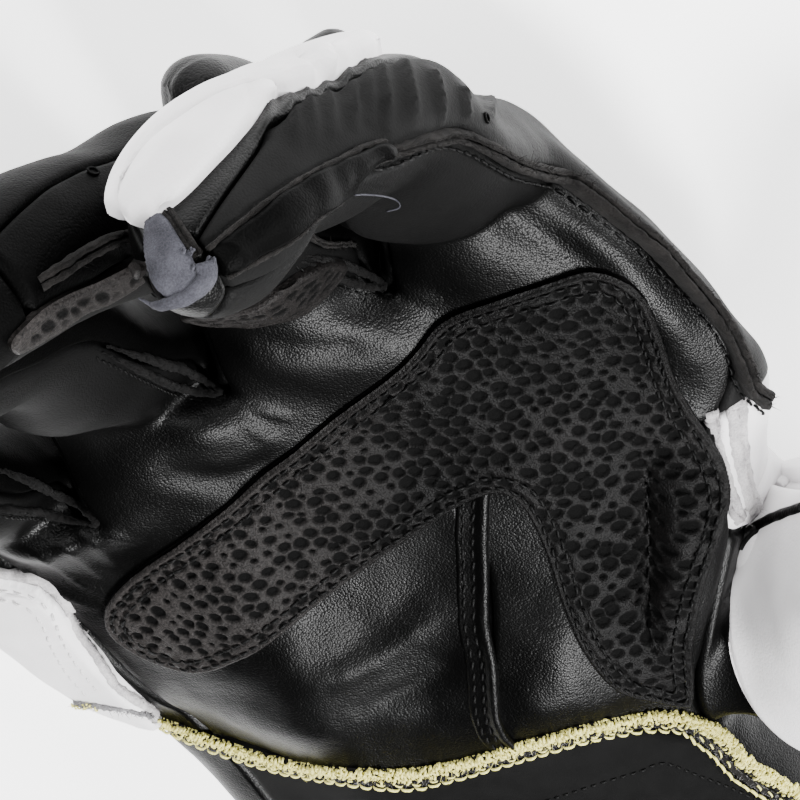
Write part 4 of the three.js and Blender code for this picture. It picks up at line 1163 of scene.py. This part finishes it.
ROUNDING = 0.35          # how much a pad's corners are drawn in
PAD_GRID = (56, 40)      # points of a pad along and across
EMBOSSED_GRID = (72, 60)  # the same for an embossed pad
PAD_PIT_DEEP = 0.45      # depth of the pits in an embossed pad


def pad(name, node, look, limb, thick, crown, rows):
    """A soft raised pad with rolled edges, fitted to a limb. It gives the tree of its top."""
    m, n = EMBOSSED_GRID if look == "grip" else PAD_GRID
    S, T = np.meshgrid(np.linspace(-1, 1, n), np.linspace(-1, 1, m))
    steps = np.linspace(0, 1, 201)
    fine = [[through([float(row[k]) for row in rows], t) for t in steps] for k in range(3)]
    v, a, b = (np.interp((T * (1 - ROUNDING * 0.5 * S**6) + 1) / 2, steps, table) for table in fine)
    point, normal = on_form(limb, (a + b) / 2 + (b - a) / 2 * (S * (1 - ROUNDING * T**6)), v)
    flat, out = point.reshape(-1, 3), normal.reshape(-1, 3)
    faces, ring, walls = grid_faces(m, n)
    inside = distance_to(kd_of(flat[ring]), flat)
    inside[ring] = 0
    rolled = np.sqrt(1 - (1 - np.clip(inside / (thick * 0.75), 0, 1)) ** 2)
    dome = np.clip(inside / max(inside.max(), 0.1), 0, 1) ** 0.7
    wave = np.array([noise.noise(Vector(p) / 7.0) for p in flat])
    height = LIFT + thick * (0.3 + 0.7 * rolled) + crown * dome + 0.24 * wave
    values = {"edge_mm": np.concatenate([inside, np.zeros(len(ring))])}
    if look == "grip":
        wide, long = (np.linalg.norm(np.diff(line, axis=0), axis=1).sum()
                      for line in (point[m // 2], point[:, n // 2]))
        pit = pits(np.stack([S.ravel() * wide / 2, T.ravel() * long / 2], 1), 0.0) * np.clip(inside - 0.5, 0, 1)
        height -= PAD_PIT_DEEP * pit
        values["pit"] = np.concatenate([pit, np.zeros(len(ring))])
    top = flat + out * height[:, None]
    piece = add_piece(name, np.concatenate([top, flat[ring] - out[ring] * 0.4]), faces + walls, look, (node,), values)
    return tree_of(top, faces)


pad_trees = {row[0]: pad(*row) for row in PADS}
# The crackle leather on the palm side of the middle finger's end
seen_sheet("middle_end_grip", "grip", [
    (8, 340), (24, 322), (42, 306), (66, 292), (94, 280), (118, 268), (134, 260), (145, 264), (143, 277), (122, 292),
    (102, 303), (82, 311), (62, 325), (44, 336), (24, 347), (12, 351)], 0.7, 0.2)

# The wrist seam: a cut edge wrapped in pale yellow overlock thread, and a running stitch below it
wrist = seen_row([(140, 712), (165, 721), (200, 735), (250, 752), (290, 763), (330, 770), (400, 774), (440, 768),
                  (480, 758), (520, 746), (560, 735), (590, 727), (620, 721), (650, 716), (680, 716), (702, 723),
                  (720, 737), (745, 764), (797, 796)], 0.5)
hem = seen_row([(76, 702), (95, 704), (118, 708), (135, 711), (150, 716)], 0.5, pad_trees["little_side_shell"])
Piece().sweep(
    wrist, [(-1.0, -0.3), (-0.9, 0.5), (-0.4, 0.8), (0.4, 0.8), (0.9, 0.5), (1.0, -0.3)], (1.0, 0.25, 4.0)
).sweep(
    beside(wrist, 1.75), [(-0.6, -0.3), (-0.55, 0.25), (-0.1, 0.5), (0.4, 0.4), (0.6, -0.3)], (0.7, 0.25, 9.0)
).finish("wrist_seam_edge", "raw")
threads = Piece().overlock(wrist, 0.34, 0.85, 0.85, 0.23)
threads.curls(wrist, 0.17, -1.1, -0.3, 0.34, 0.2).curls(wrist, 0.3, -0.3, 0.9, 0.36, 0.19)
threads.curls([part[:12] for part in hem], 0.5, -0.3, 0.3, 0.3, 0.15).fuzz(wrist, 500, 0.8, 0.04, 1.0)
threads.stitches(beside(wrist, 3.0, 0.15), 2.0, 0.97, 0.25, 0.15, 0.2, 0.16)
threads.stitches(beside(wrist, 1.95, 0.35), 2.6, 0.55, 0.16, 0.12, 0.2, 0.3, 0.35)
threads.finish("wrist_overlock_threads", "yellow", ("wrist_overlock_edge",))
fibres = Piece().fuzz(beside(wrist, 1.5, 0.4), 700, 0.45, 0.035).fuzz(beside(wrist, 2.3, 0.2), 600, 0.45, 0.035)
fibres.sweep((hem[0] + hem[1] * 0.25, hem[1]), [(-0.4, -0.3), (-0.3, 0.2), (0.1, 0.35), (0.4, 0.1), (0.4, -0.3)],
             (0.9, 0.6, 5.0))
fibres.fuzz(hem, 160, 0.6, 0.06, 0.4).finish("wrist_seam_fibres", "grey_fibre")

# The white guard by the little finger: a thinner flap with a cut edge beside the palm, and two rows of stitches
GUARD_EDGE = [(-12, 573), (18, 577), (42, 584), (62, 602), (76, 628), (86, 643), (98, 660), (114, 684), (136, 701),
              (158, 713)]
GUARD_INNER = [(118, 716), (88, 690), (60, 655), (30, 622), (-12, 600)]
seen_sheet("little_side_flap", "white", GUARD_EDGE + GUARD_INNER, 1.3)
edge = seen_row(GUARD_EDGE, 0.5, tree_of_pieces("little_side_shell", "little_side_flap", "palm_panel_leather"))
Piece().sweep(
    edge, [(-0.8, -1.2), (-0.75, 0.1), (-0.45, 0.45), (0.2, 0.5), (0.55, 0.3), (0.7, -1.2)], (1.0, 0.25, 3.0)
).fuzz(beside(edge, -0.4, 0.4), 500, 0.5, 0.035).finish("little_side_flap_edge", "white_raw")
guard_tree = tree_of_pieces("little_side_shell", "little_side_flap")
rows = Piece()
for pixels in (
    [(-10, 589), (14, 592), (36, 599), (52, 616), (62, 640), (76, 664), (95, 688)],
    [(-10, 599), (10, 602), (28, 609), (42, 625), (52, 648), (66, 672), (84, 693)],
):
    rows.stitches(seen_row(pixels, 0.5, guard_tree), 2.1, 0.75, 0.2, 0.0, 0.16, 0.12)
rows.finish("little_side_stitches", "white_thread")

# The fingertip: a grey suede tab and hook, the seam above them with its knots
seen_sheet("index_tip_tab", "grey", [
    (149, 226), (158, 214), (170, 222), (181, 240), (194, 262), (199, 275), (190, 291), (172, 296), (158, 284),
    (150, 258)], 0.7)
hook = held_row([(203, 262), (204, 276), (192, 290), (174, 298), (160, 300), (146, 293)])
hook_size = 0.12 + 1.15 * np.linspace(1.0, 0.0, len(hook[0])) ** 0.7
hook_profile = [[(x * k, y * k * 0.7) for x, y in circle(1.0, 10)] for k in hook_size]
Piece().sweep((hook[0] + hook[1] * 0.9, hook[1]), hook_profile, (1.0, 0.12, 2.0)).finish("index_tip_hook", "grey")
seam = Piece().sweep(
    seen_row([(161, 203), (172, 218), (184, 236), (198, 256)], 0.4),
    [(-0.7, -0.3), (-0.6, 0.4), (-0.2, 0.6), (0.0, 0.2), (0.2, 0.6), (0.6, 0.4), (0.7, -0.3)], (0.9, 0.2, 1.0))
for spot in ((153, 223), (206, 260), (192, 268), (187, 252)):
    knot, out = seen(FORM, *spot)
    short = (np.array([knot, knot + right * 0.7]) + out * 0.3, np.array([out, out]))
    seam.curls(short, 0.35, -0.2, 0.2, 0.3, 0.17, 1)
seam.finish("index_tip_seam", "raw", (), ["grey"])

# Small things: the cuff's pointed stitch line, a loose thread, holes in the side leather
Piece().stitches(
    seen_row([(548, 800), (600, 783), (640, 771), (664, 763), (700, 776), (726, 786), (762, 802)], 0.5),
    1.5, 0.8, 0.2, 0.0, 0.14, 0.1).finish("cuff_point_stitches", "black_thread")
loose = held_row([(345, 188), (358, 187), (374, 188), (388, 192), (391, 199), (378, 203)])
Piece().sweep((loose[0] + loose[1] * 1.4, loose[1]), circle(0.11, 5)).finish("index_loose_thread", "grey")
holes = Piece()
for spot in ((486, 118), (93, 172)):
    centre, out = seen(FORM, *spot)
    one = unit(np.cross(out, vec(0.3, 0.5, 0.8)))
    angle = np.linspace(0, 2 * math.pi, 15)[:, None]
    circled = one * np.cos(angle) + np.cross(out, one) * np.sin(angle)
    holes.sweep((centre + circled * 0.62 + out * 0.15, straight(out, 15)), circle(0.16, 6))
    holes.add(centre + circled[:-1] * 0.6 + out * 0.06, [tuple(range(14))])
holes.finish("leather_holes", "dull")

# The cut edges of the thumb's web guard, and a black strip between the two thumb guards that is painted shadow of the
# gap between them
web_tree = tree_of_pieces("thumb_web_shell", "thumb_outer_shell", "thumb_web_panel_leather", "palm_panel_leather",
                          "thenar_panel_leather", "thumb_inner_panel_leather", "index_side_panel_leather")
edges = Piece()
for pixels, w in (([(712, 412), (717, 440), (724, 475), (733, 505), (742, 520)], 1.0),
                  ([(738, 402), (738, 430), (743, 465), (750, 495), (757, 510)], 1.5)):
    row = seen_row(pixels, 0.45, web_tree)
    edges.sweep(row, [(-w, -1.0), (-w, 0.2), (-w * 0.5, 0.6), (w * 0.4, 0.55), (w, 0.1), (w, -1.0)], (0.8, 0.3, 2.0))
    edges.fuzz(row, 300, 0.6, 0.035, 0.5)
edges.finish("thumb_web_edges", "white_raw")
# Painted shadow: a raised black strip laid in the gap between the two thumb guards.
Piece().sweep(
    seen_row([(738, 548), (743, 538), (756, 527), (775, 517), (803, 507)], 0.5, web_tree),
    [(-0.9, -0.8), (-0.8, 0.3), (-0.3, 0.7), (0.3, 0.7), (0.8, 0.3), (0.9, -0.8)], (2.0, 0.15, 2.0)
).finish("thumb_guard_gap_shadow_strip", "black")

# Floor and light

FLOOR_SIZE = 4            # in metres
FLOOR_DROP = 0.0005       # how far the floor lies under the glove, in metres
bpy.ops.mesh.primitive_plane_add(size=FLOOR_SIZE, location=(0, 0, -FLOOR_DROP))
floor = bpy.context.object
floor.name = "floor"
card = Shader("pale_floor")
card.fill(card.material.node_tree.nodes["Principled BSDF"], {
    "Base Color": linear("f4f4f4"), "Roughness": 0.9, "Emission Color": linear("ffffff"), "Emission Strength": 1.7})
floor.data.materials.append(card.material)

LAMPS = [  # name, place in metres, width in metres, power in watts
    ("key_softbox", (0.23, -0.64, 1.25), 0.4, 56), ("side_softbox", (0.95, 0.1, 0.6), 0.3, 16),
    ("finger_softbox", (-0.3, 0.95, 1.0), 0.7, 24),
]
LAMP_AIM = Vector((0, 0, 0.03))
WORLD_LIGHT = 0.08
for name, place, size, power in LAMPS:
    data = bpy.data.lights.new(name, "AREA")
    data.shape = "DISK"
    data.size = size
    data.energy = power
    lamp = bpy.data.objects.new(name, data)
    SCENE.collection.objects.link(lamp)
    lamp.location = place
    lamp.rotation_euler = (LAMP_AIM - Vector(place)).to_track_quat("-Z", "Y").to_euler()
world = bpy.data.worlds.new("studio")
world.use_nodes = True
background = world.node_tree.nodes["Background"].inputs
background["Color"].default_value = linear("ffffff")
background["Strength"].default_value = WORLD_LIGHT
SCENE.world = world
